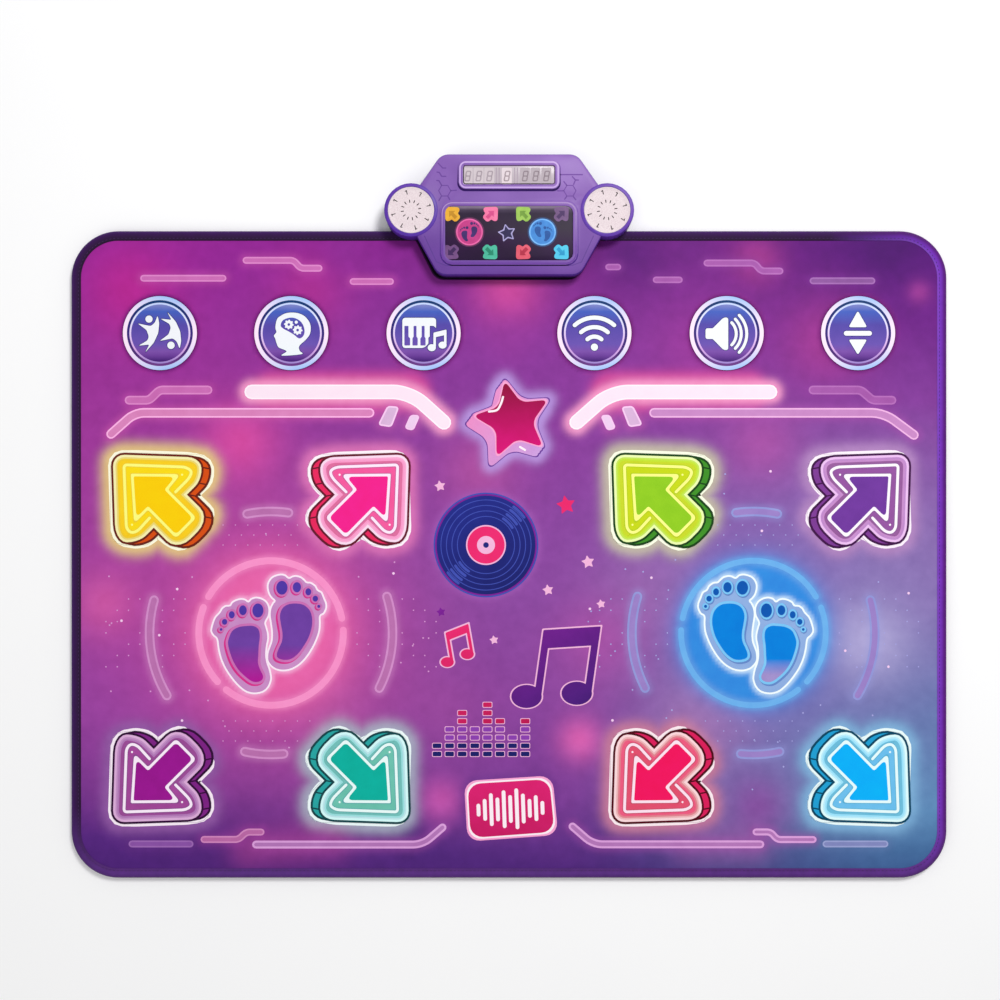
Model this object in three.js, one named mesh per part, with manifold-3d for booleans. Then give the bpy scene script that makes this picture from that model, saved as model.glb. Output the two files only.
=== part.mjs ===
// Electronic dance mat for two players: a padded sheet mat with arrow pads and round icon buttons,
// and a control unit clamped over its far edge.
// Millimetres, +X to the players' right, +Y away from them, +Z up.
// The origin is on the floor, at the centre of the whole outline.
import * as THREE from "three";
import { mergeVertices } from "three/addons/utils/BufferGeometryUtils.js";
import Module from "manifold-3d";

const wasm = await Module();
wasm.setup();

// Clearances and counts that every piece shares
const LAYER_GAP = 0.05; // between two sheets laid on each other
const FIT_GAP = 0.3; // between a piece and its seat
const OVERRUN = 4; // how far a cutting tool passes the face it opens
const WELD = 0.0005;
const ARC_STEP = THREE.MathUtils.degToRad(30);
const WIDE_ARC_STEP = THREE.MathUtils.degToRad(18);
const SCREW_SIDES = 8;
const CELL_SIDES = 18;
const BUTTON_SIDES = 28;
const POD_SIDES = 32;

// Mat outline and the layers from the floor up
const MAT_WIDTH = 1150;
const MAT_DEPTH = 850;
const MAT_CORNER_RADIUS = 62;
const BASE_SHEET_THICKNESS = 1.5;
const FOAM_THICKNESS = 5;
const FILM_THICKNESS = 0.3;
const TOP_SHEET_THICKNESS = 1;

// Edge binding: a tape folded round the layers
const BINDING_WIDTH = 13;
const BINDING_WALL = 1.5;
const BINDING_FLANGE = 1;

// Press zones: the arrow pads and round buttons
const ARROW_TRAVEL = 1.8;
const BUTTON_TRAVEL = 1.2;
const ZONE_RISE = 0.5;
const ZONE_SIDE_GAP = 0.4;
const ZONE_FLANGE = 3;
const ZONE_FLANGE_THICKNESS = 0.6;

// Arrow pad outline, and its places as shares of the mat's half width and half depth
const ARROW_WIDTH = 139;
const ARROW_DEPTH = 126;
const ARROW_TIP_RADIUS = 16;
const ARROW_BARB_RADIUS = 18;
const ARROW_NEAR_BARB_RADIUS = 10;
const OUTER_COLUMN_SHARE = 0.91;
const INNER_COLUMN_SHARE = 0.232;
const FAR_ROW_SHARE = 0.31;
const NEAR_ROW_SHARE = 0.828;

// Round buttons: places along X as shares of the mat's half width
const BUTTON_RADIUS = 49.4;
const BUTTON_ROW_GAP = 23;
const BUTTON_COLUMN_SHARES = [-0.797, -0.497, -0.195, 0.195, 0.497, 0.797];

// Control unit housing: six corners, measured about the unit's centre
const UNIT_DEPTH = 157;
const UNIT_FAR_WIDTH = 176;
const UNIT_MIDDLE_WIDTH = 278;
const UNIT_NEAR_WIDTH = 184;
const UNIT_MIDDLE_OFFSET = 5.5; // the widest line lies this far beyond the centre
const UNIT_CORNER_RADIUS = 18;
const UNIT_HEIGHT = 36;
const UNIT_EDGE_ROUND = 4;
const SHELL_WALL = 2.5;
const SHELL_ROOF = 3;
const PLATE_THICKNESS = 2.5;
const TUB_FLOOR = 3;
const TUB_GAP = 1; // between the tub's wall and the mat's binding

// Speaker pods, grilles and drivers
const POD_RADIUS = 35;
const POD_INSET = 12;
const POD_RISE = 1;
const POD_EDGE_ROUND = 2;
const GRILLE_RADIUS = 30;
const GRILLE_THICKNESS = 1.7;
const GRILLE_RECESS = 2.5;
const GRILLE_LEDGE = 3;
const SLIT_WIDTH = 2;
const INNER_SLIT_RADIUS = 11.4;
const INNER_SLIT_LENGTH = 6;
const INNER_SLIT_COUNT = 10;
const OUTER_SLIT_RADIUS = 22.6;
const OUTER_SLIT_LENGTH = 7;
const OUTER_SLIT_COUNT = 8;
const DRIVER_FLANGE = 2;
const DRIVER_FLANGE_LAP = 2;
const DRIVER_CONE_DEPTH = 9;
const MAGNET_RADIUS = 12;
const MAGNET_DEPTH = 4;

// Digit window at the far side of the unit
const DIGIT_WIDTH = 119;
const DIGIT_DEPTH = 24.7;
const DIGIT_INSET = 15.3;
const DIGIT_CORNER_RADIUS = 3;
const DIGIT_BEZEL = 6;
const DIGIT_BEZEL_RISE = 1.5;
const DIGIT_MODULE_HEIGHT = 5;
const LENS_THICKNESS = 1.6;
const LENS_SINK = 0.4; // below the rim round it
const LENS_LEDGE = 2.5;
const GLASS_RISE = 1;

// Smoked panel with lit icons at the near side of the unit
const PANEL_WIDTH = 165;
const PANEL_DEPTH = 70;
const PANEL_INSET = 19;
const PANEL_CORNER_RADIUS = 9;
const PANEL_FRAME = 6;
const PANEL_FRAME_RISE = 1;
const PANEL_ICON_SIZE = 14;
const PANEL_ICON_MARGIN = 9;
const PANEL_BOARD_LAP = 2;
const BOARD_THICKNESS = 1.6;

// Main board and the film tail that joins it to the mat
const MAIN_BOARD_WIDTH = 120;
const MAIN_BOARD_INSET = 8;
const MAIN_BOARD_TUB_GAP = 15;
const STANDOFF_HEIGHT = 3.5;
const STANDOFF_RADIUS = 2.5;
const CHIP_SIZE = 14;
const CHIP_HEIGHT = 2;
const TAIL_WIDTH = 50;
const TAIL_THICKNESS = 0.4;
const TAIL_FOOT = 18;
const TAIL_INSET = 14;
const TAIL_INSERTION = 1.6;
const CONNECTOR_DEPTH = 6;
const CONNECTOR_END = 3;

// Batteries, their bay and its cover
const CELL_RADIUS = 7.1;
const CELL_LENGTH = 49.5;
const CELL_NUB_RADIUS = 2.7;
const CELL_NUB_LENGTH = 1;
const CELL_GAP = 0.9;
const CELL_COUNT = 4;
const CONTACT_THICKNESS = 1;
const BAY_WALL = 2;
const BAY_CLEAR = 7;
const COVER_THICKNESS = 1.5;
const COVER_LAP = 4;
const COVER_SCREW_LAND = 12;
const COVER_FAR_CLEAR = 9.3; // from the screw land to the tub's far wall
const COVER_PAD_HEIGHT = 1.2;
const COVER_EAR_RADIUS = 5;
const COVER_POST_RADIUS = 7;

// Power switch in the tub's floor
const KNOB_SIZE = 4;
const KNOB_TRAVEL = 4;
const KNOB_PROUD = 1.2;
const KNOB_STEM = 2;
const SWITCH_WALL = 2;
const SWITCH_HEIGHT = 6;
const SWITCH_X_SHARE = 0.6; // of the unit's half far width
const SWITCH_Y_SHARE = 0.35; // of the unit's half depth

// Power inlet in the far wall
const SOCKET_WIDTH = 9.5;
const SOCKET_HEIGHT = 3.8;
const SOCKET_DEPTH = 7;
const SOCKET_WALL = 0.6;
const SOCKET_X_SHARE = -0.5; // of the unit's half far width
const SOCKET_LIFT = 2;

// Screws, posts, clamp and feet
const SCREW_RADIUS = 1.5;
const SCREW_HEAD_RADIUS = 3.5;
const SCREW_HEAD_HEIGHT = 2;
const SCREW_PLAY = 0.25;
const SCREW_GRIP = 10;
const POST_RADIUS = 4;
const PILLAR_RADIUS = 5;
const PILLAR_SKIN = 4;
const CLAMP_INSET = 2.5;
const CLAMP_SCREW_MARGIN = 10;
const CLAMP_BINDING_GAP = 1.5;
const CLAMP_SCREW_EDGE = 8;
const CLAMP_BOARD_GAP = 6;
const CLAMP_WALL_GAP = 4.6;
const CASE_FAR_INSET = 16.5;
const CASE_FAR_SPREAD = 160;
const CASE_MIDDLE_INSET = 11.5;
const CASE_MIDDLE_SPREAD = 184;
const FOOT_HEIGHT = 2;
const FOOT_WIDTH = 26;
const FOOT_DEPTH = 8;
const FOOT_INSET = 9;
const FOOT_SPREAD = 96;

// Levels that follow from the layers
const foamLow = BASE_SHEET_THICKNESS + LAYER_GAP;
const foamTop = foamLow + FOAM_THICKNESS;
const lowerFilmLow = foamTop + LAYER_GAP;
const lowerFilmTop = lowerFilmLow + FILM_THICKNESS;
const spacerLow = lowerFilmTop + LAYER_GAP;
const flangeTop = spacerLow + ARROW_TRAVEL + ZONE_FLANGE_THICKNESS;
const upperFilmLow = flangeTop - FILM_THICKNESS;
const spacerTop = upperFilmLow - LAYER_GAP;
const topSheetLow = flangeTop + LAYER_GAP;
const topSheetTop = topSheetLow + TOP_SHEET_THICKNESS;
const bindingTop = topSheetTop + LAYER_GAP + BINDING_FLANGE;

// Levels of the control unit
const plateLow = bindingTop + FIT_GAP;
const plateTop = plateLow + PLATE_THICKNESS;
const shellLow = plateTop + FIT_GAP;
const roofLow = UNIT_HEIGHT - SHELL_ROOF;
const underRoof = roofLow - FIT_GAP;
const podTop = UNIT_HEIGHT + POD_RISE;
const tubLow = FOOT_HEIGHT + LAYER_GAP;
const tubFloorTop = tubLow + TUB_FLOOR;
const coverTop = tubLow + COVER_THICKNESS;
const coverPadTop = coverTop + COVER_PAD_HEIGHT;
const cellAxis = coverPadTop + FIT_GAP + CELL_RADIUS;
const bayTop = cellAxis + CELL_RADIUS + FIT_GAP;

// Places along Y and X. The tub reaches as far beyond the mat as its battery bay needs, and the rest
// of the unit's depth lies over the mat.
const cellPitch = 2 * CELL_RADIUS + CELL_GAP;
const bayDepth = CELL_COUNT * cellPitch + FIT_GAP;
const bayWidth = CELL_LENGTH + 2 * (CELL_NUB_LENGTH + CONTACT_THICKNESS + 2 * FIT_GAP);
const tubReach = TUB_GAP + BAY_CLEAR + bayDepth + COVER_SCREW_LAND + COVER_FAR_CLEAR + 2 * SHELL_WALL;
const totalDepth = MAT_DEPTH + tubReach;
const matY = (MAT_DEPTH - totalDepth) / 2;
const unitY = (totalDepth - UNIT_DEPTH) / 2;
const unitNear = -UNIT_DEPTH / 2;
const unitFar = UNIT_DEPTH / 2;
const matEdge = unitFar - tubReach;
const bindingInner = matEdge - BINDING_WIDTH;
const tubNear = matEdge + TUB_GAP;
const podX = UNIT_MIDDLE_WIDTH / 2 - POD_INSET;
const digitY = unitFar - DIGIT_INSET - DIGIT_DEPTH / 2;
const panelY = unitNear + PANEL_INSET + PANEL_DEPTH / 2;
const mainBoardDepth = tubNear - MAIN_BOARD_TUB_GAP - unitNear - MAIN_BOARD_INSET;
const mainBoardY = unitNear + MAIN_BOARD_INSET + mainBoardDepth / 2;
const tailY = unitNear + TAIL_INSET;
const bayY = tubNear + SHELL_WALL + BAY_CLEAR + bayDepth / 2;
const coverWidth = bayWidth + 2 * COVER_LAP;
const coverDepth = bayDepth + COVER_LAP + COVER_SCREW_LAND;
const coverY = bayY + (COVER_SCREW_LAND - COVER_LAP) / 2;
const coverScrewY = bayY + (bayDepth + COVER_SCREW_LAND) / 2;
const buttonRow = unitY + unitNear - BUTTON_ROW_GAP - BUTTON_RADIUS - matY;
const slotGap = TAIL_THICKNESS / 2 + FIT_GAP;
const toMat = unitY - matY;

// Outlines are lists of corners, anticlockwise, each with the radius that rounds it
const corner = (x, y, radius = 0) => ({ x, y, radius });

function rectangle(width, depth, radius = 0, x = 0, y = 0) {
  return [
    corner(x - width / 2, y - depth / 2, radius),
    corner(x + width / 2, y - depth / 2, radius),
    corner(x + width / 2, y + depth / 2, radius),
    corner(x - width / 2, y + depth / 2, radius),
  ];
}

// The turn at a corner: positive where the outline bends outwards
function turnAt(corners, i) {
  const before = corners.at(i - 1);
  const here = corners[i];
  const after = corners[(i + 1) % corners.length];
  return (here.x - before.x) * (after.y - here.y) - (here.y - before.y) * (after.x - here.x);
}

// The outline with every side drawn in by a distance, or let out by a negative one
function drawnIn(corners, distance) {
  const sides = corners.map((from, i) => {
    const to = corners[(i + 1) % corners.length];
    const along = new THREE.Vector2(to.x - from.x, to.y - from.y).normalize();
    const point = new THREE.Vector2(-along.y, along.x).multiplyScalar(distance).add(from);
    return { point, along };
  });
  return corners.map((here, i) => {
    const one = sides.at(i - 1);
    const two = sides[i];
    const reach = two.point.clone().sub(one.point).cross(two.along) / one.along.cross(two.along);
    const met = one.along.clone().multiplyScalar(reach).add(one.point);
    const radius = here.radius - distance * Math.sign(turnAt(corners, i));
    return corner(met.x, met.y, here.radius ? Math.max(radius, 0) : 0);
  });
}

// The points of an outline, with an arc at each rounded corner
function pointsOf(corners, arcStep = ARC_STEP) {
  const points = [];
  corners.forEach((here, i) => {
    const at = new THREE.Vector2(here.x, here.y);
    if (!here.radius) {
      points.push(at);
      return;
    }
    const back = new THREE.Vector2().copy(corners.at(i - 1)).sub(at).normalize();
    const ahead = new THREE.Vector2().copy(corners[(i + 1) % corners.length]).sub(at).normalize();
    const half = Math.acos(back.dot(ahead)) / 2;
    const centre = back.clone().add(ahead).normalize().multiplyScalar(here.radius / Math.sin(half)).add(at);
    const start = back.clone().multiplyScalar(here.radius / Math.tan(half)).add(at);
    const sweep = (Math.PI - 2 * half) * Math.sign(turnAt(corners, i));
    const steps = Math.ceil(Math.abs(sweep) / arcStep);
    for (let k = 0; k <= steps; k++) {
      points.push(start.clone().rotateAround(centre, (sweep * k) / steps));
    }
  });
  return points;
}

function circle(radius, sides, x = 0, y = 0) {
  return Array.from({ length: sides }, (_, i) => {
    const angle = (2 * Math.PI * i) / sides;
    return new THREE.Vector2(x + radius * Math.cos(angle), y + radius * Math.sin(angle));
  });
}

// A flat piece between two levels
function prism(points, low, high) {
  const options = { depth: high - low, bevelEnabled: false };
  return new THREE.ExtrudeGeometry(new THREE.Shape(points), options).translate(0, 0, low);
}

function solidOf(geometry) {
  const bare = new THREE.BufferGeometry();
  bare.setAttribute("position", geometry.getAttribute("position"));
  bare.setIndex(geometry.index);
  const merged = mergeVertices(bare, WELD);
  return new wasm.Manifold(
    new wasm.Mesh({
      numProp: 3,
      vertProperties: merged.getAttribute("position").array,
      triVerts: new Uint32Array(merged.index.array),
    }),
  );
}

function geometryOf(solid) {
  const made = solid.getMesh();
  const geometry = new THREE.BufferGeometry();
  geometry.setAttribute("position", new THREE.BufferAttribute(made.vertProperties, 3));
  geometry.setIndex(new THREE.BufferAttribute(made.triVerts, 1));
  geometry.computeVertexNormals();
  return geometry;
}

const slab = (points, low, high) => solidOf(prism(points, low, high));

const block = (width, depth, low, high, x = 0, y = 0, radius = 0) =>
  slab(pointsOf(rectangle(width, depth, radius, x, y)), low, high);

const rod = (radius, low, high, x = 0, y = 0, sides = SCREW_SIDES) =>
  slab(circle(radius, sides, x, y), low, high);

// A slab whose upper edge is rounded over; its lower end is cut square
function domed(points, low, high, round) {
  const geometry = new THREE.ExtrudeGeometry(new THREE.Shape(points), {
    depth: high - low,
    bevelThickness: round,
    bevelSize: round,
    bevelOffset: -round,
    bevelSegments: 2,
  });
  geometry.translate(0, 0, low - round);
  const whole = solidOf(geometry);
  return whole.subtract(block(MAT_WIDTH, MAT_DEPTH, low - 2 * round, low));
}

const joined = (...solids) => solids.reduce((all, next) => all.add(next));

const cut = (solid, ...tools) => tools.reduce((left, tool) => left.subtract(tool), solid);

// A layer with openings right through it
const sheet = (points, low, high, openings) =>
  cut(slab(points, low, high), ...openings.map((hole) => slab(hole, low - OVERRUN, high + OVERRUN)));

// Finishes: colour, roughness and metalness
const finishes = {
  print: [0x6a2a96, 0.42, 0],
  base: [0x2b2733, 0.9, 0],
  foam: [0xd8d4dc, 0.95, 0],
  film: [0xbfc4c8, 0.35, 0],
  binding: [0x3b1a5e, 0.85, 0],
  yellow: [0xffd000, 0.42, 0],
  pink: [0xf9229a, 0.42, 0],
  green: [0x8fd01e, 0.42, 0],
  violet: [0x7030a0, 0.42, 0],
  magenta: [0xa01090, 0.42, 0],
  teal: [0x08b89a, 0.42, 0],
  red: [0xfb1a6a, 0.42, 0],
  sky: [0x08b0fa, 0.42, 0],
  button: [0x3c4aa0, 0.42, 0],
  housing: [0x8e5fc2, 0.38, 0],
  tub: [0x3e1c86, 0.5, 0],
  lens: [0xd9cdd6, 0.15, 0],
  smoked: [0x2a1f3a, 0.12, 0],
  grille: [0xede0e2, 0.45, 0],
  driver: [0x26242a, 0.7, 0],
  board: [0x1f6b45, 0.55, 0],
  dark: [0x1c1b20, 0.5, 0],
  steel: [0xb8bbc0, 0.32, 1],
  cell: [0xc8a24a, 0.35, 0.6],
  rubber: [0x232226, 0.9, 0],
};

const root = new THREE.Group();
const mat = new THREE.Group();
mat.position.y = matY;
const unit = new THREE.Group();
unit.position.y = unitY;
root.add(mat, unit);

function addPiece(group, name, finish, piece, x = 0, y = 0) {
  const [color, roughness, metalness] = finishes[finish];
  const geometry = piece.isBufferGeometry ? piece : geometryOf(piece);
  const mesh = new THREE.Mesh(geometry, new THREE.MeshStandardMaterial({ color, roughness, metalness }));
  mesh.name = name;
  mesh.position.set(x, y, 0);
  group.add(mesh);
}

// Arrow pads: corners as shares of the pad's width and depth, measured from the head's outer corner
const arrowShares = [
  [0, 0, ARROW_TIP_RADIUS],
  [0.943, 0, ARROW_BARB_RADIUS],
  [0.943, 0.28, ARROW_TIP_RADIUS],
  [0.81, 0.427, 0],
  [1, 0.635, ARROW_TIP_RADIUS],
  [0.67, 1, ARROW_TIP_RADIUS],
  [0.443, 0.854, 0],
  [0.349, 0.948, ARROW_NEAR_BARB_RADIUS],
  [0, 0.948, ARROW_BARB_RADIUS],
];

// towardX and towardY are -1 or 1: the side to which the arrow points
function arrowCorners(towardX, towardY) {
  const corners = arrowShares.map(([u, v, radius]) =>
    corner(-towardX * u * ARROW_WIDTH, -towardY * v * ARROW_DEPTH, radius),
  );
  return towardX === towardY ? corners : corners.reverse();
}

const arrows = [
  { name: "arrow_pad_yellow", finish: "yellow", side: -1, column: OUTER_COLUMN_SHARE, toward: [-1, 1] },
  { name: "arrow_pad_pink", finish: "pink", side: -1, column: INNER_COLUMN_SHARE, toward: [1, 1] },
  { name: "arrow_pad_green", finish: "green", side: 1, column: INNER_COLUMN_SHARE, toward: [-1, 1] },
  { name: "arrow_pad_violet", finish: "violet", side: 1, column: OUTER_COLUMN_SHARE, toward: [1, 1] },
  { name: "arrow_pad_magenta", finish: "magenta", side: -1, column: OUTER_COLUMN_SHARE, toward: [-1, -1] },
  { name: "arrow_pad_teal", finish: "teal", side: -1, column: INNER_COLUMN_SHARE, toward: [1, -1] },
  { name: "arrow_pad_red", finish: "red", side: 1, column: INNER_COLUMN_SHARE, toward: [-1, -1] },
  { name: "arrow_pad_sky", finish: "sky", side: 1, column: OUTER_COLUMN_SHARE, toward: [1, -1] },
];

const buttonNames = [
  "button_game",
  "button_memory",
  "button_piano",
  "button_wireless",
  "button_volume",
  "button_level",
];

// A press zone: its place on the mat, its printed outline, its hidden flange and its travel
const arrowZones = arrows.map(({ name, finish, side, column, toward: [towardX, towardY] }) => ({
  name,
  finish,
  x: (side * column * MAT_WIDTH) / 2,
  y: ((towardY > 0 ? FAR_ROW_SHARE : -NEAR_ROW_SHARE) * MAT_DEPTH) / 2,
  outline: (gap) => pointsOf(drawnIn(arrowCorners(towardX, towardY), -gap)),
  flange: rectangle(
    ARROW_WIDTH + 2 * ZONE_FLANGE,
    ARROW_DEPTH + 2 * ZONE_FLANGE,
    0,
    (-towardX * ARROW_WIDTH) / 2,
    (-towardY * ARROW_DEPTH) / 2,
  ),
  travel: ARROW_TRAVEL,
}));

const buttonZones = buttonNames.map((name, i) => ({
  name,
  finish: "button",
  x: (BUTTON_COLUMN_SHARES[i] * MAT_WIDTH) / 2,
  y: buttonRow,
  outline: (gap) => circle(BUTTON_RADIUS + gap, BUTTON_SIDES),
  flange: rectangle(2 * (BUTTON_RADIUS + ZONE_FLANGE), 2 * (BUTTON_RADIUS + ZONE_FLANGE)),
  travel: BUTTON_TRAVEL,
}));

const zones = [...arrowZones, ...buttonZones];

const shifted = (points, x, y) => points.map((p) => new THREE.Vector2(p.x + x, p.y + y));

const zoneHoles = zones.map((zone) => shifted(zone.outline(ZONE_SIDE_GAP), zone.x, zone.y));
const zoneWindows = zones.map((zone) =>
  shifted(pointsOf(drawnIn(zone.flange, -FIT_GAP)), zone.x, zone.y),
);

// Half the housing's width at a place nearer the players than its widest line
function nearSideX(y) {
  const share = (y - unitNear) / (UNIT_MIDDLE_OFFSET - unitNear);
  return THREE.MathUtils.lerp(UNIT_NEAR_WIDTH, UNIT_MIDDLE_WIDTH, share) / 2;
}

// Screws that clamp the unit to the mat, in the unit's frame
const clampNear = unitNear + CLAMP_INSET;
const clampFar = bindingInner - CLAMP_BINDING_GAP;
const clampNearY = clampNear + CLAMP_SCREW_EDGE;
const clampFarY = clampFar - CLAMP_SCREW_EDGE;
const clampFarX = nearSideX(clampFarY) - SHELL_WALL - POST_RADIUS - CLAMP_WALL_GAP;
const clampNearX = MAIN_BOARD_WIDTH / 2 + POST_RADIUS + CLAMP_BOARD_GAP;
const clampWidth = 2 * (Math.max(clampNearX, clampFarX) + CLAMP_SCREW_MARGIN);
const clampPlaces = [
  [-clampNearX, clampNearY],
  [clampNearX, clampNearY],
  [-clampFarX, clampFarY],
  [clampFarX, clampFarY],
];
const casePlaces = [
  [-CASE_FAR_SPREAD / 2, unitFar - CASE_FAR_INSET],
  [CASE_FAR_SPREAD / 2, unitFar - CASE_FAR_INSET],
  [-CASE_MIDDLE_SPREAD / 2, tubNear + CASE_MIDDLE_INSET],
  [CASE_MIDDLE_SPREAD / 2, tubNear + CASE_MIDDLE_INSET],
];
const boreRadius = SCREW_RADIUS + SCREW_PLAY;
const headBoreRadius = SCREW_HEAD_RADIUS + SCREW_PLAY;
const clampBores = (radius) => clampPlaces.map(([x, y]) => circle(radius, SCREW_SIDES, x, y + toMat));
const tailSlot = (gap) =>
  pointsOf(rectangle(TAIL_WIDTH + 2 * FIT_GAP, TAIL_THICKNESS + 2 * gap, 0, 0, tailY + toMat));
const tailWindow = pointsOf(
  rectangle(
    TAIL_WIDTH + 2 * FIT_GAP,
    TAIL_FOOT + 2 * slotGap,
    0,
    0,
    tailY + toMat - TAIL_FOOT / 2 + TAIL_THICKNESS / 2,
  ),
);

function addMatLayers() {
  const outline = rectangle(MAT_WIDTH, MAT_DEPTH, MAT_CORNER_RADIUS);
  const opening = drawnIn(outline, BINDING_WIDTH);
  const basePoints = pointsOf(drawnIn(opening, FIT_GAP), WIDE_ARC_STEP);
  const layerPoints = pointsOf(drawnIn(outline, BINDING_WALL + FIT_GAP), WIDE_ARC_STEP);
  const bores = clampBores(boreRadius);
  const pocket = pointsOf(
    drawnIn(rectangle(clampWidth, clampFar - clampNear, 0, 0, (clampFar + clampNear) / 2 + toMat), -FIT_GAP),
  );
  const base = sheet(basePoints, 0, BASE_SHEET_THICKNESS, clampBores(headBoreRadius));
  addPiece(mat, "base_sheet", "base", base);
  addPiece(mat, "foam_pad", "foam", sheet(layerPoints, foamLow, foamTop, [pocket]));
  addPiece(mat, "lower_contact_film", "film", sheet(layerPoints, lowerFilmLow, lowerFilmTop, bores));
  const openings = [...zoneWindows, ...bores, tailWindow];
  addPiece(mat, "spacer_sheet", "foam", sheet(layerPoints, spacerLow, spacerTop, openings));
  addPiece(mat, "upper_contact_film", "film", sheet(layerPoints, upperFilmLow, flangeTop, openings));
  const topHoles = [...zoneHoles, ...bores, tailSlot(FIT_GAP)];
  addPiece(mat, "top_sheet", "print", sheet(layerPoints, topSheetLow, topSheetTop, topHoles));

  const ring = sheet(pointsOf(outline, WIDE_ARC_STEP), 0, bindingTop, [pointsOf(opening, WIDE_ARC_STEP)]);
  const channel = slab(
    pointsOf(drawnIn(outline, BINDING_WALL), WIDE_ARC_STEP),
    BASE_SHEET_THICKNESS,
    topSheetTop + LAYER_GAP,
  );
  addPiece(mat, "edge_binding", "binding", cut(ring, channel));
}

function addPressZones() {
  for (const zone of zones) {
    const flangeLow = spacerLow + zone.travel;
    const flange = slab(pointsOf(zone.flange), flangeLow, flangeTop);
    const face = slab(zone.outline(0), flangeLow, topSheetTop + ZONE_RISE);
    addPiece(mat, zone.name, zone.finish, joined(flange, face), zone.x, zone.y);
  }
}

// Housing outline, shared by both shells
const housing = [
  corner(-UNIT_NEAR_WIDTH / 2, unitNear, UNIT_CORNER_RADIUS),
  corner(UNIT_NEAR_WIDTH / 2, unitNear, UNIT_CORNER_RADIUS),
  corner(UNIT_MIDDLE_WIDTH / 2, UNIT_MIDDLE_OFFSET, UNIT_CORNER_RADIUS),
  corner(UNIT_FAR_WIDTH / 2, unitFar, UNIT_CORNER_RADIUS),
  corner(-UNIT_FAR_WIDTH / 2, unitFar, UNIT_CORNER_RADIUS),
  corner(-UNIT_MIDDLE_WIDTH / 2, UNIT_MIDDLE_OFFSET, UNIT_CORNER_RADIUS),
];
const housingPoints = pointsOf(housing, WIDE_ARC_STEP);
const housingCavity = pointsOf(drawnIn(housing, SHELL_WALL), WIDE_ARC_STEP);
const podSides = [-1, 1];

// The housing and its two pods between two levels, whole or as their cavity
function housingSlab(low, high) {
  const pods = podSides.map((side) =>
    rod(POD_RADIUS, low, high, side * podX, UNIT_MIDDLE_OFFSET, POD_SIDES),
  );
  return joined(slab(housingPoints, low, high), ...pods);
}

function cavitySlab(low, high) {
  const pods = podSides.map((side) =>
    rod(POD_RADIUS - SHELL_WALL, low, high, side * podX, UNIT_MIDDLE_OFFSET, POD_SIDES),
  );
  return joined(slab(housingCavity, low, high), ...pods);
}

// A window in the roof: a through hole with a ledge on which the pane sits
function windowCut(width, depth, y, radius, rimTop) {
  const paneLow = rimTop - LENS_SINK - LENS_THICKNESS - FIT_GAP;
  const seat = block(width + 2 * FIT_GAP, depth + 2 * FIT_GAP, paneLow, rimTop + OVERRUN, 0, y, radius);
  const hole = block(
    width - 2 * LENS_LEDGE,
    depth - 2 * LENS_LEDGE,
    roofLow - OVERRUN,
    rimTop + OVERRUN,
    0,
    y,
    radius,
  );
  return joined(seat, hole);
}

function pane(width, depth, y, radius, rimTop) {
  const high = rimTop - LENS_SINK;
  return block(width, depth, high - LENS_THICKNESS, high, 0, y, radius);
}

const digitRim = UNIT_HEIGHT + DIGIT_BEZEL_RISE;
const panelRim = UNIT_HEIGHT + PANEL_FRAME_RISE;
const socketLow = shellLow + SOCKET_LIFT;
const socketX = (SOCKET_X_SHARE * UNIT_FAR_WIDTH) / 2;
const switchX = (SWITCH_X_SHARE * UNIT_FAR_WIDTH) / 2;
const switchY = (SWITCH_Y_SHARE * UNIT_DEPTH) / 2;
const knobSlotWidth = KNOB_SIZE + KNOB_TRAVEL + 2 * FIT_GAP;
const knobSlotDepth = KNOB_SIZE + 2 * FIT_GAP;
const pillarBoreTop = plateTop - PILLAR_SKIN;
const mainBoardLow = plateTop + STANDOFF_HEIGHT + FIT_GAP;
const boardCorners = podSides.flatMap((sideX) =>
  podSides.map((sideY) => [
    sideX * (MAIN_BOARD_WIDTH / 2 - STANDOFF_RADIUS),
    mainBoardY + sideY * (mainBoardDepth / 2 - STANDOFF_RADIUS),
  ]),
);

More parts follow.
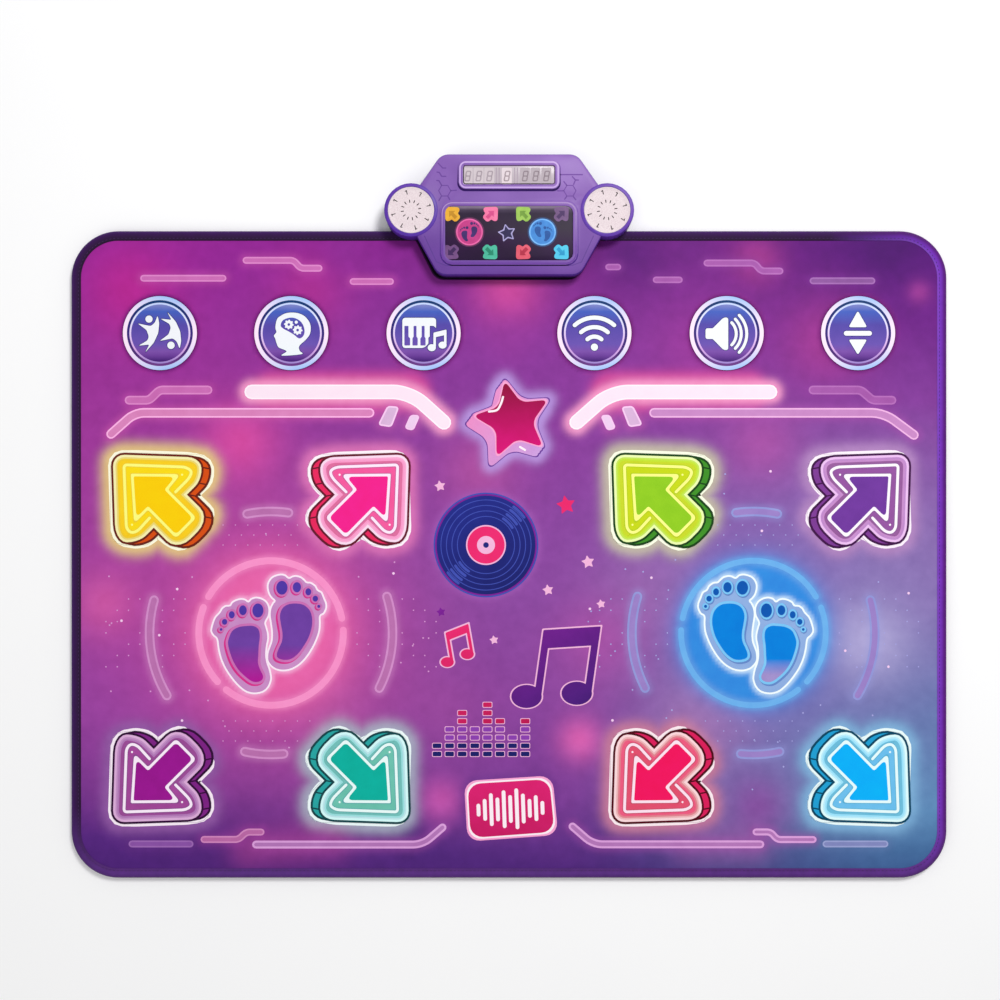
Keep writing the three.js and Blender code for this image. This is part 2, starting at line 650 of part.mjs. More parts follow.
function addUpperShell() {
  const pods = podSides.map((side) =>
    domed(
      circle(POD_RADIUS, POD_SIDES, side * podX, UNIT_MIDDLE_OFFSET),
      shellLow,
      podTop,
      POD_EDGE_ROUND,
    ),
  );
  const bezel = block(
    DIGIT_WIDTH + 2 * DIGIT_BEZEL,
    DIGIT_DEPTH + 2 * DIGIT_BEZEL,
    roofLow,
    digitRim,
    0,
    digitY,
    DIGIT_CORNER_RADIUS + DIGIT_BEZEL,
  );
  const frame = block(
    PANEL_WIDTH + 2 * PANEL_FRAME,
    PANEL_DEPTH + 2 * PANEL_FRAME,
    roofLow,
    panelRim,
    0,
    panelY,
    PANEL_CORNER_RADIUS + PANEL_FRAME,
  );
  const outside = joined(domed(housingPoints, shellLow, UNIT_HEIGHT, UNIT_EDGE_ROUND), ...pods, bezel, frame);
  const speakerCuts = podSides.map((side) => {
    const x = side * podX;
    const ledge = podTop - GRILLE_RECESS;
    return joined(
      rod(GRILLE_RADIUS + FIT_GAP, ledge, podTop + OVERRUN, x, UNIT_MIDDLE_OFFSET, POD_SIDES),
      rod(GRILLE_RADIUS - GRILLE_LEDGE, roofLow - OVERRUN, podTop, x, UNIT_MIDDLE_OFFSET, POD_SIDES),
    );
  });
  const places = [...clampPlaces, ...casePlaces];
  const posts = places.map(([x, y]) => rod(POST_RADIUS, shellLow, roofLow + FIT_GAP, x, y));
  const boreTop = shellLow + SCREW_GRIP + FIT_GAP;
  const bores = places.map(([x, y]) => rod(boreRadius, shellLow - OVERRUN, boreTop, x, y));
  const socketHole = block(
    SOCKET_WIDTH + 2 * FIT_GAP,
    SHELL_WALL + 2 * OVERRUN,
    socketLow - FIT_GAP,
    socketLow + SOCKET_HEIGHT + FIT_GAP,
    socketX,
    unitFar - SHELL_WALL / 2,
  );
  const hollow = cut(
    outside,
    cavitySlab(shellLow - OVERRUN, roofLow),
    windowCut(DIGIT_WIDTH, DIGIT_DEPTH, digitY, DIGIT_CORNER_RADIUS, digitRim),
    windowCut(PANEL_WIDTH, PANEL_DEPTH, panelY, PANEL_CORNER_RADIUS, panelRim),
    ...speakerCuts,
    socketHole,
  );
  addPiece(unit, "upper_shell", "housing", cut(joined(hollow, ...posts), ...bores));
}

function addLowerShell() {
  const beyondMat = block(
    MAT_WIDTH,
    UNIT_DEPTH,
    tubLow - OVERRUN,
    plateTop + OVERRUN,
    0,
    tubNear + UNIT_DEPTH / 2,
  );
  const tub = housingSlab(tubLow, plateTop).intersect(beyondMat);
  const inner = cavitySlab(tubFloorTop, plateTop + OVERRUN).intersect(
    block(MAT_WIDTH, UNIT_DEPTH, tubLow, plateTop + 2 * OVERRUN, 0, tubNear + SHELL_WALL + UNIT_DEPTH / 2),
  );
  const bay = block(bayWidth + 2 * BAY_WALL, bayDepth + 2 * BAY_WALL, tubLow, bayTop + BAY_WALL, 0, bayY);
  const pillars = casePlaces.map(([x, y]) => rod(PILLAR_RADIUS, tubLow, plateTop, x, y));
  const coverPost = rod(COVER_POST_RADIUS, tubLow, plateTop, 0, coverScrewY, CELL_SIDES);
  const standoffTop = plateTop + STANDOFF_HEIGHT;
  const standoffs = boardCorners.map(([x, y]) => rod(STANDOFF_RADIUS, plateLow, standoffTop, x, y));
  const solid = joined(
    cut(joined(housingSlab(plateLow, plateTop), tub), inner),
    bay,
    coverPost,
    ...pillars,
    ...standoffs,
  );
  const coverSeat = block(
    coverWidth + 2 * FIT_GAP,
    coverDepth + 2 * FIT_GAP,
    tubLow - OVERRUN,
    coverTop + FIT_GAP,
    0,
    coverY,
  );
  const bayInside = block(bayWidth, bayDepth, tubLow - OVERRUN, bayTop, 0, bayY);
  const earHole = rod(
    COVER_EAR_RADIUS + FIT_GAP,
    tubLow - OVERRUN,
    coverPadTop + FIT_GAP,
    0,
    coverScrewY,
    CELL_SIDES,
  );
  const coverBore = rod(boreRadius, tubLow - OVERRUN, coverPadTop + SCREW_GRIP, 0, coverScrewY);
  const caseBores = casePlaces.flatMap(([x, y]) => [
    rod(boreRadius, tubLow - OVERRUN, plateTop + OVERRUN, x, y),
    rod(headBoreRadius, tubLow - OVERRUN, pillarBoreTop, x, y),
  ]);
  const clampHoles = clampPlaces.map(([x, y]) =>
    rod(boreRadius, plateLow - OVERRUN, plateTop + OVERRUN, x, y),
  );
  const knobSlot = block(
    knobSlotWidth,
    knobSlotDepth,
    tubLow - OVERRUN,
    tubFloorTop + OVERRUN,
    switchX + KNOB_TRAVEL / 2,
    switchY,
  );
  const ribbonSlot = block(
    TAIL_WIDTH + 2 * FIT_GAP,
    TAIL_THICKNESS + 2 * FIT_GAP,
    plateLow - OVERRUN,
    plateTop + OVERRUN,
    0,
    tailY,
  );
  const shell = cut(
    solid,
    coverSeat,
    bayInside,
    earHole,
    coverBore,
    ...caseBores,
    ...clampHoles,
    knobSlot,
    ribbonSlot,
  );
  addPiece(unit, "lower_shell", "tub", shell);
}

function addWindows() {
  addPiece(
    unit,
    "display_lens",
    "lens",
    pane(DIGIT_WIDTH, DIGIT_DEPTH, digitY, DIGIT_CORNER_RADIUS, digitRim),
  );
  addPiece(
    unit,
    "panel_window",
    "smoked",
    pane(PANEL_WIDTH, PANEL_DEPTH, panelY, PANEL_CORNER_RADIUS, panelRim),
  );
  const glass = block(
    DIGIT_WIDTH - 2 * (LENS_LEDGE + FIT_GAP),
    DIGIT_DEPTH - 2 * (LENS_LEDGE + FIT_GAP),
    underRoof - FIT_GAP,
    underRoof + GLASS_RISE,
    0,
    digitY,
    DIGIT_CORNER_RADIUS,
  );
  const module = block(DIGIT_WIDTH, DIGIT_DEPTH, underRoof - DIGIT_MODULE_HEIGHT, underRoof, 0, digitY);
  addPiece(unit, "display_module", "dark", joined(module, glass));

  const iconX = PANEL_WIDTH / 2 - PANEL_ICON_MARGIN - PANEL_ICON_SIZE / 2;
  const iconY = PANEL_DEPTH / 2 - PANEL_ICON_MARGIN - PANEL_ICON_SIZE / 2;
  const columnShares = [-1, -1 / 3, 1 / 3, 1];
  const icons = columnShares.flatMap((share) =>
    podSides.map((side) =>
      block(
        PANEL_ICON_SIZE,
        PANEL_ICON_SIZE,
        underRoof - FIT_GAP,
        underRoof + GLASS_RISE,
        share * iconX,
        panelY + side * iconY,
      ),
    ),
  );
  const board = block(
    PANEL_WIDTH + 2 * PANEL_BOARD_LAP,
    PANEL_DEPTH + PANEL_BOARD_LAP,
    underRoof - BOARD_THICKNESS,
    underRoof,
    0,
    panelY,
  );
  addPiece(unit, "panel_led_board", "board", joined(board, ...icons));
}

function addSpeakers() {
  const ringOfSlits = (count, radius, length) =>
    Array.from({ length: count }, (_, i) => {
      const angle = (2 * Math.PI * i) / count;
      return pointsOf(rectangle(length, SLIT_WIDTH, 0, radius)).map((p) =>
        p.rotateAround(new THREE.Vector2(), angle),
      );
    });
  const slits = [
    ...ringOfSlits(INNER_SLIT_COUNT, INNER_SLIT_RADIUS, INNER_SLIT_LENGTH),
    ...ringOfSlits(OUTER_SLIT_COUNT, OUTER_SLIT_RADIUS, OUTER_SLIT_LENGTH),
  ];
  const grilleLow = podTop - GRILLE_RECESS + FIT_GAP;
  const driverTop = underRoof;
  const coneLow = driverTop - DRIVER_FLANGE - DRIVER_CONE_DEPTH;
  const flangeRadius = GRILLE_RADIUS - GRILLE_LEDGE + DRIVER_FLANGE_LAP;
  const profile = [
    new THREE.Vector2(0, coneLow - MAGNET_DEPTH),
    new THREE.Vector2(MAGNET_RADIUS, coneLow - MAGNET_DEPTH),
    new THREE.Vector2(MAGNET_RADIUS, coneLow),
    new THREE.Vector2(flangeRadius, driverTop - DRIVER_FLANGE),
    new THREE.Vector2(flangeRadius, driverTop),
    new THREE.Vector2(0, driverTop),
  ];
  ["left", "right"].forEach((word, i) => {
    const x = podSides[i] * podX;
    const disc = circle(GRILLE_RADIUS, POD_SIDES);
    const grille = sheet(disc, grilleLow, grilleLow + GRILLE_THICKNESS, slits);
    addPiece(unit, `speaker_grille_${word}`, "grille", grille, x, UNIT_MIDDLE_OFFSET);
    const driver = new THREE.LatheGeometry(profile, CELL_SIDES).rotateX(Math.PI / 2);
    addPiece(unit, `speaker_driver_${word}`, "driver", driver, x, UNIT_MIDDLE_OFFSET);
  });
}

function addElectronics() {
  const board = block(
    MAIN_BOARD_WIDTH,
    mainBoardDepth,
    mainBoardLow,
    mainBoardLow + BOARD_THICKNESS,
    0,
    mainBoardY,
  );
  const chipX = MAIN_BOARD_WIDTH / 4;
  const chipLow = mainBoardLow + BOARD_THICKNESS - FIT_GAP;
  const chips = podSides.map((side) =>
    block(CHIP_SIZE, CHIP_SIZE, chipLow, chipLow + CHIP_HEIGHT, side * chipX, mainBoardY),
  );
  addPiece(unit, "main_board", "board", joined(board, ...chips));

  const connectorHigh = mainBoardLow - LAYER_GAP;
  const connectorLow = plateTop + FIT_GAP;
  const tailTop = connectorLow + TAIL_INSERTION;
  const connector = block(
    TAIL_WIDTH + 2 * CONNECTOR_END,
    CONNECTOR_DEPTH,
    connectorLow,
    connectorHigh,
    0,
    tailY,
  );
  const mouth = block(
    TAIL_WIDTH + 2 * FIT_GAP,
    TAIL_THICKNESS + 2 * FIT_GAP,
    connectorLow - OVERRUN,
    tailTop + FIT_GAP,
    0,
    tailY,
  );
  addPiece(unit, "ribbon_connector", "dark", cut(connector, mouth));

  const rise = block(TAIL_WIDTH, TAIL_THICKNESS, spacerLow, tailTop, 0, tailY);
  const foot = block(
    TAIL_WIDTH,
    TAIL_FOOT,
    spacerLow,
    spacerLow + TAIL_THICKNESS,
    0,
    tailY - TAIL_FOOT / 2 + TAIL_THICKNESS / 2,
  );
  addPiece(unit, "ribbon_tail", "film", joined(rise, foot));

  const socket = block(
    SOCKET_WIDTH,
    SOCKET_DEPTH,
    socketLow,
    socketLow + SOCKET_HEIGHT,
    socketX,
    unitFar - SOCKET_DEPTH / 2,
  );
  const mouthHole = block(
    SOCKET_WIDTH - 2 * SOCKET_WALL,
    SOCKET_DEPTH,
    socketLow + SOCKET_WALL,
    socketLow + SOCKET_HEIGHT - SOCKET_WALL,
    socketX,
    unitFar - SOCKET_WALL,
  );
  addPiece(unit, "usb_socket", "steel", cut(socket, mouthHole));
}

function addSwitch() {
  const bodyLow = tubFloorTop + FIT_GAP;
  const body = block(
    knobSlotWidth + 2 * SWITCH_WALL,
    knobSlotDepth + 2 * SWITCH_WALL,
    bodyLow,
    bodyLow + SWITCH_HEIGHT,
    switchX + KNOB_TRAVEL / 2,
    switchY,
  );
  const channel = block(
    knobSlotWidth,
    knobSlotDepth,
    bodyLow - OVERRUN,
    bodyLow + KNOB_STEM + FIT_GAP,
    switchX + KNOB_TRAVEL / 2,
    switchY,
  );
  addPiece(unit, "power_switch_body", "dark", cut(body, channel));
  const knob = block(KNOB_SIZE, KNOB_SIZE, tubLow - KNOB_PROUD, bodyLow + KNOB_STEM, switchX, switchY);
  addPiece(unit, "power_knob", "grille", knob);
}

function addBatteries() {
  const barrel = CELL_LENGTH - CELL_NUB_LENGTH;
  const profile = [
    new THREE.Vector2(0, -barrel / 2),
    new THREE.Vector2(CELL_RADIUS, -barrel / 2),
    new THREE.Vector2(CELL_RADIUS, barrel / 2),
    new THREE.Vector2(CELL_NUB_RADIUS, barrel / 2),
    new THREE.Vector2(CELL_NUB_RADIUS, barrel / 2 + CELL_NUB_LENGTH),
    new THREE.Vector2(0, barrel / 2 + CELL_NUB_LENGTH),
  ];
  for (let i = 0; i < CELL_COUNT; i++) {
    const way = i % 2 ? 1 : -1;
    const cell = new THREE.LatheGeometry(profile, CELL_SIDES).rotateZ((-way * Math.PI) / 2);
    cell.translate(0, 0, cellAxis);
    addPiece(unit, `battery_${i + 1}`, "cell", cell, 0, bayY + (i - (CELL_COUNT - 1) / 2) * cellPitch);
  }
  ["left", "right"].forEach((word, i) => {
    const x = podSides[i] * (bayWidth / 2 - FIT_GAP - CONTACT_THICKNESS / 2);
    const strip = block(
      CONTACT_THICKNESS,
      bayDepth - 2 * FIT_GAP,
      cellAxis - CELL_RADIUS,
      cellAxis + CELL_RADIUS,
      x,
      bayY,
    );
    addPiece(unit, `battery_contact_${word}`, "steel", strip);
  });

  const plate = block(coverWidth, coverDepth, tubLow, coverTop, 0, coverY);
  const pad = block(bayWidth - 2 * FIT_GAP, bayDepth - 2 * FIT_GAP, tubLow, coverPadTop, 0, bayY);
  const ear = rod(COVER_EAR_RADIUS, tubLow, coverPadTop, 0, coverScrewY, CELL_SIDES);
  const shaftHole = rod(boreRadius, tubLow - OVERRUN, coverPadTop + OVERRUN, 0, coverScrewY);
  const coverHeadLow = tubLow - FIT_GAP;
  const headHole = rod(
    headBoreRadius,
    coverHeadLow,
    tubLow + SCREW_HEAD_HEIGHT + FIT_GAP,
    0,
    coverScrewY,
  );
  addPiece(unit, "battery_cover", "tub", cut(joined(plate, pad, ear), shaftHole, headHole));
  const coverGrip = coverPadTop - tubLow - SCREW_HEAD_HEIGHT + SCREW_GRIP - OVERRUN;
  addPiece(unit, "battery_screw", "steel", screw(tubLow, coverGrip), 0, coverScrewY);
}

// A screw standing on its head at a level, with its shaft upwards
function screw(low, length) {
  const shoulder = low + SCREW_HEAD_HEIGHT;
  return joined(
    rod(SCREW_HEAD_RADIUS, low, shoulder),
    rod(SCREW_RADIUS, low, shoulder + length),
  );
}

function addFasteners() {
  const clampDepth = clampFar - clampNear;
  const clampY = (clampFar + clampNear) / 2;
  const plate = block(clampWidth, clampDepth, foamLow, foamTop, 0, clampY);
  const headTop = foamLow + SCREW_HEAD_HEIGHT + 2 * FIT_GAP;
  const holes = clampPlaces.flatMap(([x, y]) => [
    rod(boreRadius, foamLow - OVERRUN, foamTop + OVERRUN, x, y),
    rod(headBoreRadius, foamLow - OVERRUN, headTop, x, y),
  ]);
  addPiece(unit, "clamp_plate", "steel", cut(plate, ...holes));
  const clampHeadLow = headTop - FIT_GAP - SCREW_HEAD_HEIGHT;
  const clampLength = shellLow + SCREW_GRIP - clampHeadLow - SCREW_HEAD_HEIGHT;
  clampPlaces.forEach(([x, y], i) => {
    addPiece(unit, `clamp_screw_${i + 1}`, "steel", screw(clampHeadLow, clampLength), x, y);
  });
  const caseHeadLow = pillarBoreTop - FIT_GAP - SCREW_HEAD_HEIGHT;
  const caseLength = shellLow + SCREW_GRIP - caseHeadLow - SCREW_HEAD_HEIGHT;
  casePlaces.forEach(([x, y], i) => {
    addPiece(unit, `case_screw_${i + 1}`, "steel", screw(caseHeadLow, caseLength), x, y);
  });
  ["left", "right"].forEach((word, i) => {
    const foot = block(FOOT_WIDTH, FOOT_DEPTH, 0, FOOT_HEIGHT);
    const x = (podSides[i] * FOOT_SPREAD) / 2;
    addPiece(unit, `rubber_foot_${word}`, "rubber", foot, x, unitFar - FOOT_INSET);
  });
}

addMatLayers();
addPressZones();
addUpperShell();
addLowerShell();
addWindows();
addSpeakers();
addElectronics();
addSwitch();
addBatteries();
addFasteners();

export default root;
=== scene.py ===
# %% [markdown]
# # A dance mat for two, dressed for its portrait
# The real thing is a padded mat a little over a metre wide. Its printed vinyl top has eight arrow pads and six round
# buttons, a tape is sewn round its edge, and a plastic control unit is clamped to the far side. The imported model
# already fixes every size, so this script only gives each visible part its surface, its print and its colour.

# %% Load the frame
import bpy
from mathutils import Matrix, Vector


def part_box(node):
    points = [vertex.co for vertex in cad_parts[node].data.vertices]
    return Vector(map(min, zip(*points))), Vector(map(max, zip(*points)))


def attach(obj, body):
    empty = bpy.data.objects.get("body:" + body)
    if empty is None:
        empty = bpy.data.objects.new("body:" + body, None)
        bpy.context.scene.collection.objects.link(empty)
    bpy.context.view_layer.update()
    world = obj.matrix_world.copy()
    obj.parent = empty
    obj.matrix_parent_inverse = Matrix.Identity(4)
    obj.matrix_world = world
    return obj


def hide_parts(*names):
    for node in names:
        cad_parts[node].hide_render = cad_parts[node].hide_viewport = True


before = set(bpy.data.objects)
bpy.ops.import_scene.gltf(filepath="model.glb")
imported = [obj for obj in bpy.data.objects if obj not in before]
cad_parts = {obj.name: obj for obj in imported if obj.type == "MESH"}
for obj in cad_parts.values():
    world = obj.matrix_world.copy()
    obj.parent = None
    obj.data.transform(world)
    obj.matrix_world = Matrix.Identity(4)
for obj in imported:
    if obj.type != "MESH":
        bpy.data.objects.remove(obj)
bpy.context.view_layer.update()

# %% [markdown]
# Most of this file thinks in millimetres, because that is how such a mat is drawn. A shape is scaled to metres only
# when it becomes a finished piece. The portrait was taken from straight above, so one number turns a place in the
# picture into a place on the mat.

# %% Imports and the scale of the picture
import math

import bmesh
import bpy
import numpy as np
from mathutils import Matrix, Vector
from mathutils.geometry import interpolate_bezier

PICTURE_MM = 1.3128
PICTURE_MIDDLE = (509, 554.5)
MAT_MIDDLE_Y = -47.5


def spot(px, py):
    return Vector(((px - PICTURE_MIDDLE[0]) * PICTURE_MM, (PICTURE_MIDDLE[1] - py) * PICTURE_MM + MAT_MIDDLE_Y))


def spots(*pairs):
    return [spot(*pair) for pair in pairs]


print("the picture's centre lies at", spot(500, 500))

# %% [markdown]
# The camera hangs over the mat and looks straight down. A 50 mm lens from 1.8 metres gives the picture's frame, and
# its slight perspective shows the near wall of the control unit below the unit's top.

# %% Camera
EYE_HEIGHT = 1.834
LENS_MM, SENSOR_MM = 50, 36
centre = spot(500, 500)
camera_data = bpy.data.cameras.new("portrait_camera")
camera_data.lens = LENS_MM
camera_data.sensor_width = SENSOR_MM
camera = bpy.data.objects.new("portrait_camera", camera_data)
camera.location = (centre.x / 1000, centre.y / 1000, EYE_HEIGHT)
bpy.context.scene.collection.objects.link(camera)
bpy.context.scene.camera = camera
bpy.context.scene.view_settings.view_transform = "Standard"
print("the camera hangs at", camera.location)

# %% [markdown]
# A surface colour is written as on a printer's colour card, in hex, and shaders want it linear. The class below wraps
# one socket of a shader, so that sums and products of sockets can be written as plain expressions. Every other node
# comes from its one method `node`.

# %% Colours and shader expressions
def hue(card):
    values = [int(card[i:i + 2], 16) / 255 for i in (1, 3, 5)]
    linear = [v / 12.92 if v <= 0.04045 else ((v + 0.055) / 1.055) ** 2.4 for v in values]
    return (*linear, 1.0)


class Wire:
    def __init__(self, tree, socket=None):
        self.tree = tree
        self.socket = socket

    def node(self, kind, settings=(), inputs=(), output=0):
        made = self.tree.nodes.new("ShaderNode" + kind)
        for name, value in dict(settings).items():
            if name == "stops":
                ramp = made.color_ramp
                while len(ramp.elements) < len(value):
                    ramp.elements.new(0.5)
                for element, (place, colour) in zip(ramp.elements, value):
                    element.position = place
                    element.color = colour
            else:
                setattr(made, name, value)
        for name, value in dict(inputs).items():
            self.feed(made.inputs[name], value)
        return Wire(self.tree, made.outputs[output])

    def feed(self, socket, value):
        if isinstance(value, Wire):
            self.tree.links.new(value.socket, socket)
        else:
            socket.default_value = value

    def maths(self, operation, first, second=0.0, clamp=False):
        settings = {"operation": operation, "use_clamp": clamp}
        return self.node("Math", settings, {0: first, 1: second})

    def __add__(self, other):
        return self.maths("ADD", self, other)

    def __radd__(self, other):
        return self.maths("ADD", other, self)

    def __sub__(self, other):
        return self.maths("SUBTRACT", self, other)

    def __rsub__(self, other):
        return self.maths("SUBTRACT", other, self)

    def __mul__(self, other):
        return self.maths("MULTIPLY", self, other)

    def __rmul__(self, other):
        return self.maths("MULTIPLY", other, self)

    def __truediv__(self, other):
        return self.maths("DIVIDE", self, other)


def finish(name, recipe):
    material = bpy.data.materials.new(name)
    material.use_nodes = True
    shader = material.node_tree.nodes["Principled BSDF"]
    wire = Wire(material.node_tree)
    for socket, value in recipe(wire).items():
        wire.feed(shader.inputs[socket], value)
    return material


print("a printer's violet is", [round(v, 3) for v in hue("#7a49b3")])

# %% [markdown]
# A few expressions come back in nearly every finish: the place on the object, a soft noise, a mix of two colours,
# a slope across the piece, and a bump for the fine grain of vinyl or moulded plastic.

# %% Shader helpers
def place(w):
    return w.node("TexCoord", output="Object")


def noise(w, scale, detail=3.0, stretch=None):
    where = place(w)
    if stretch:
        where = w.node("Mapping", inputs={"Vector": where, "Scale": stretch})
    return w.node("TexNoise", inputs={"Vector": where, "Scale": scale, "Detail": detail})


def mix(w, factor, first, second, blend="MIX"):
    settings = {"data_type": "RGBA", "blend_type": blend}
    return w.node("Mix", settings, {0: factor, 6: first, 7: second}, output=2)


def ramp(w, factor, *stops):
    settings = {"stops": [(where, hue(card)) for where, card in stops]}
    return w.node("ValToRGB", settings, {"Fac": factor})


def slope(w, start, end):
    run = Vector(end) - Vector(start)
    along = run / run.length_squared
    dot = w.node("VectorMath", {"operation": "DOT_PRODUCT"}, {0: place(w), 1: along}, output=1)
    return w.maths("ADD", dot, -Vector(start).dot(along), clamp=True)


def grain(w, height, depth, strength=0.5):
    return w.node("Bump", inputs={"Height": height, "Distance": depth, "Strength": strength})


def mottled(w, colour, strength=0.2, scale=60.0):
    return mix(w, strength, colour, noise(w, scale), "SOFT_LIGHT")


def flat_point(point):
    return (point.x / 1000, point.y / 1000, 0.0)


print("shader helpers are ready")

# %% [markdown]
# Ink on vinyl: the film is smooth and slightly glossy, with a fine leather-like grain pressed into it, and ink is
# never perfectly even. So each ink mottles a little between two close tones, and it may also run from one colour to
# another across the mat, as the neon gradients of the print do.

# %% Inks
INKS = {}
INK_SHEEN = 0.08
PORE_SCALE, PORE_DEPTH = 1400.0, 0.0001


def vinyl(w, colour, gloss=0.42, mottle=0.2):
    pores = noise(w, PORE_SCALE, 2.0)
    return {
        "Base Color": mottled(w, colour, mottle),
        "Roughness": gloss + pores * 0.1,
        "Normal": grain(w, pores, PORE_DEPTH, 0.3),
        "Specular IOR Level": INK_SHEEN,
    }


def ink(name, card, second=None, start=None, end=None, gloss=0.42):
    def recipe(w):
        colour = hue(card)
        if second:
            colour = mix(w, slope(w, flat_point(spot(*start)), flat_point(spot(*end))), colour, hue(second))
        return vinyl(w, colour, gloss)

    INKS[name] = finish("ink_" + name, recipe)


print("inks are mixed by name")

# %% [markdown]
# Printed shapes are outlines. Corners are rounded with a Bézier curve, free shapes flow through a few points, and a
# line of ink is the outline of its path at a given width, with round ends.

# %% Outlines
def circle(middle, radius, sides=48, squash=1.0):
    turns = [math.tau * i / sides for i in range(sides)]
    return [middle + Vector((math.cos(t) * radius, math.sin(t) * radius * squash)) for t in turns]


def curve(first, first_handle, last_handle, last, steps):
    points = [p.to_3d() for p in (first, first_handle, last_handle, last)]
    return [Vector(p[:2]) for p in interpolate_bezier(*points, steps)]


def rounded(points, cuts, closed=True, steps=6):
    if not hasattr(cuts, "__len__"):
        cuts = [cuts] * len(points)
    made = []
    for i, point in enumerate(points):
        if not cuts[i] or (not closed and i in (0, len(points) - 1)):
            made.append(point)
            continue
        back = points[i - 1] - point
        ahead = points[(i + 1) % len(points)] - point
        first = point + back.normalized() * min(cuts[i], back.length * 0.48)
        last = point + ahead.normalized() * min(cuts[i], ahead.length * 0.48)
        made += curve(first, first.lerp(point, 0.56), last.lerp(point, 0.56), last, steps)
    return made


def flowing(points, closed=True, steps=4):
    made = []
    count = len(points)
    for i in range(count if closed else count - 1):
        before = points[i - 1] if closed or i else points[i]
        after = points[(i + 2) % count] if closed or i + 2 < count else points[i + 1]
        first, last = points[i], points[(i + 1) % count]
        made += curve(first, first + (last - before) / 6, last - (after - first) / 6, last, steps + 1)[:-1]
    return made if closed else made + [points[-1]]


def ribbon(path, width, ends=5):
    half = width / 2
    left, right = [], []
    for i, point in enumerate(path):
        first = (point - path[i - 1] if i else path[1] - point).normalized()
        second = (path[i + 1] - point if i + 1 < len(path) else point - path[i - 1]).normalized()
        across = (first + second).orthogonal().normalized()
        reach = half / max(0.4, across.dot(first.orthogonal()))
        left.append(point + across * reach)
        right.append(point - across * reach)

    def cap(middle, direction):
        aim = math.atan2(direction.y, direction.x)
        turns = [aim + math.pi / 2 - math.pi * i / (ends + 1) for i in range(1, ends + 1)]
        return [middle + Vector((math.cos(t), math.sin(t))) * half for t in turns]

    return left + cap(path[-1], path[-1] - path[-2]) + right[::-1] + cap(path[0], path[0] - path[1])


def grown(outline, by):
    count = len(outline)
    turning = sum(outline[i - 1].cross(outline[i]) for i in range(count))
    side = -1 if turning > 0 else 1
    made = []
    for i, point in enumerate(outline):
        first = (point - outline[i - 1]).normalized().orthogonal() * side
        second = (outline[(i + 1) % count] - point).normalized().orthogonal() * side
        across = (first + second).normalized()
        reach = by[i] if isinstance(by, list) else by
        made.append(point + across * reach / max(0.4, across.dot(first)))
    return made


def local(points, middle, scale=1.0, turn=0.0, across=1, down=1):
    spin = Matrix.Rotation(math.radians(turn), 2)
    made = []
    for x, y in points:
        made.append(middle + spin @ Vector((x * across, -y * down)) * PICTURE_MM * scale)
    return made


print("a ring of 48 points spans", circle(Vector((0, 0)), 10)[0])

# %% [markdown]
# Ink has no thickness that anyone can see, but a flat colour laid exactly on another flickers. So each printed shape
# is a plate that stands five hundredths of a millimetre above the one below. A plate starts as one face, is
# extruded into a thin solid, and its borders are inset into the top face, each with its own ink.

# %% The printing press
LAYER_MM = 0.05
LAP_MM = 0.05


class Press:
    def __init__(self, base):
        self.bm = bmesh.new()
        self.base = base
        self.inks = []

    def index(self, name):
        if name not in self.inks:
            self.inks.append(name)
        return self.inks.index(name)

    def lift(self, faces, layer):
        made = bmesh.ops.extrude_face_region(self.bm, geom=faces)["geom"]
        points = [g for g in made if isinstance(g, bmesh.types.BMVert)]
        bmesh.ops.translate(self.bm, verts=points, vec=(0, 0, LAP_MM + layer * LAYER_MM))
        return [g for g in made if isinstance(g, bmesh.types.BMFace)]

    def plate(self, outline, name, layer=1, borders=()):
        points = [self.bm.verts.new((p.x, p.y, self.base - LAP_MM)) for p in outline]
        face = self.bm.faces.new(points)
        face.normal_update()
        if face.normal.z < 0:
            face.normal_flip()
        face.material_index = self.index(borders[0][1] if borders else name)
        top = self.lift([face], layer)[0]
        for width, border in borders:
            rim = bmesh.ops.inset_region(self.bm, faces=[top], thickness=width, use_even_offset=True)
            for made in rim["faces"]:
                made.material_index = self.index(border)
        top.material_index = self.index(name)

    def band(self, outer, inner, name, layer=1):
        edges = []
        for outline in (outer, inner):
            points = [self.bm.verts.new((p.x, p.y, self.base - LAP_MM)) for p in outline]
            edges += [self.bm.edges.new(pair) for pair in zip(points, points[1:] + points[:1])]
        faces = bmesh.ops.bridge_loops(self.bm, edges=edges)["faces"]
        for face in faces:
            face.material_index = self.index(name)
        self.lift(faces, layer)

    def line(self, path, width, name, layer=1, borders=()):
        self.plate(ribbon(path, width), name, layer, borders)


def settle(name, bm, finishes, body="mat", crease=35):
    bmesh.ops.recalc_face_normals(bm, faces=bm.faces)
    bm.transform(Matrix.Scale(0.001, 4))
    mesh = bpy.data.meshes.new(name)
    bm.to_mesh(mesh)
    bm.free()
    for made in finishes:
        mesh.materials.append(made)
    mesh.shade_smooth()
    mesh.set_sharp_from_angle(angle=math.radians(crease))
    piece = bpy.data.objects.new(name, mesh)
    bpy.context.scene.collection.objects.link(piece)
    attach(piece, body)
    print(f"{name}: {len(mesh.polygons)} faces, {len(finishes)} finishes")
    return piece


def printed(name, press, body="mat", slot="printed_sheet"):
    return settle(name, press.bm, [INKS[n] for n in press.inks], body)


print("one layer of ink is", LAYER_MM, "mm")

# %% [markdown]
# The neon print glows: every line and pad has a soft halo. A halo can't be a plate, so each light source is noted
# here while its shape is printed, and the sheet's own colour is worked out from the list at the end.

# %% Notes of light
GLOWS = []


def glow(path, card, reach, strength, half=0.0, closed=False):
    GLOWS.append((path + path[:1] if closed else path, hue(card)[:3], reach, strength, half))


def lit_line(press, path, width, name, layer, borders, card, reach, strength):
    press.line(path, width, name, layer, borders)
    glow(path, card, reach, strength, width / 2)


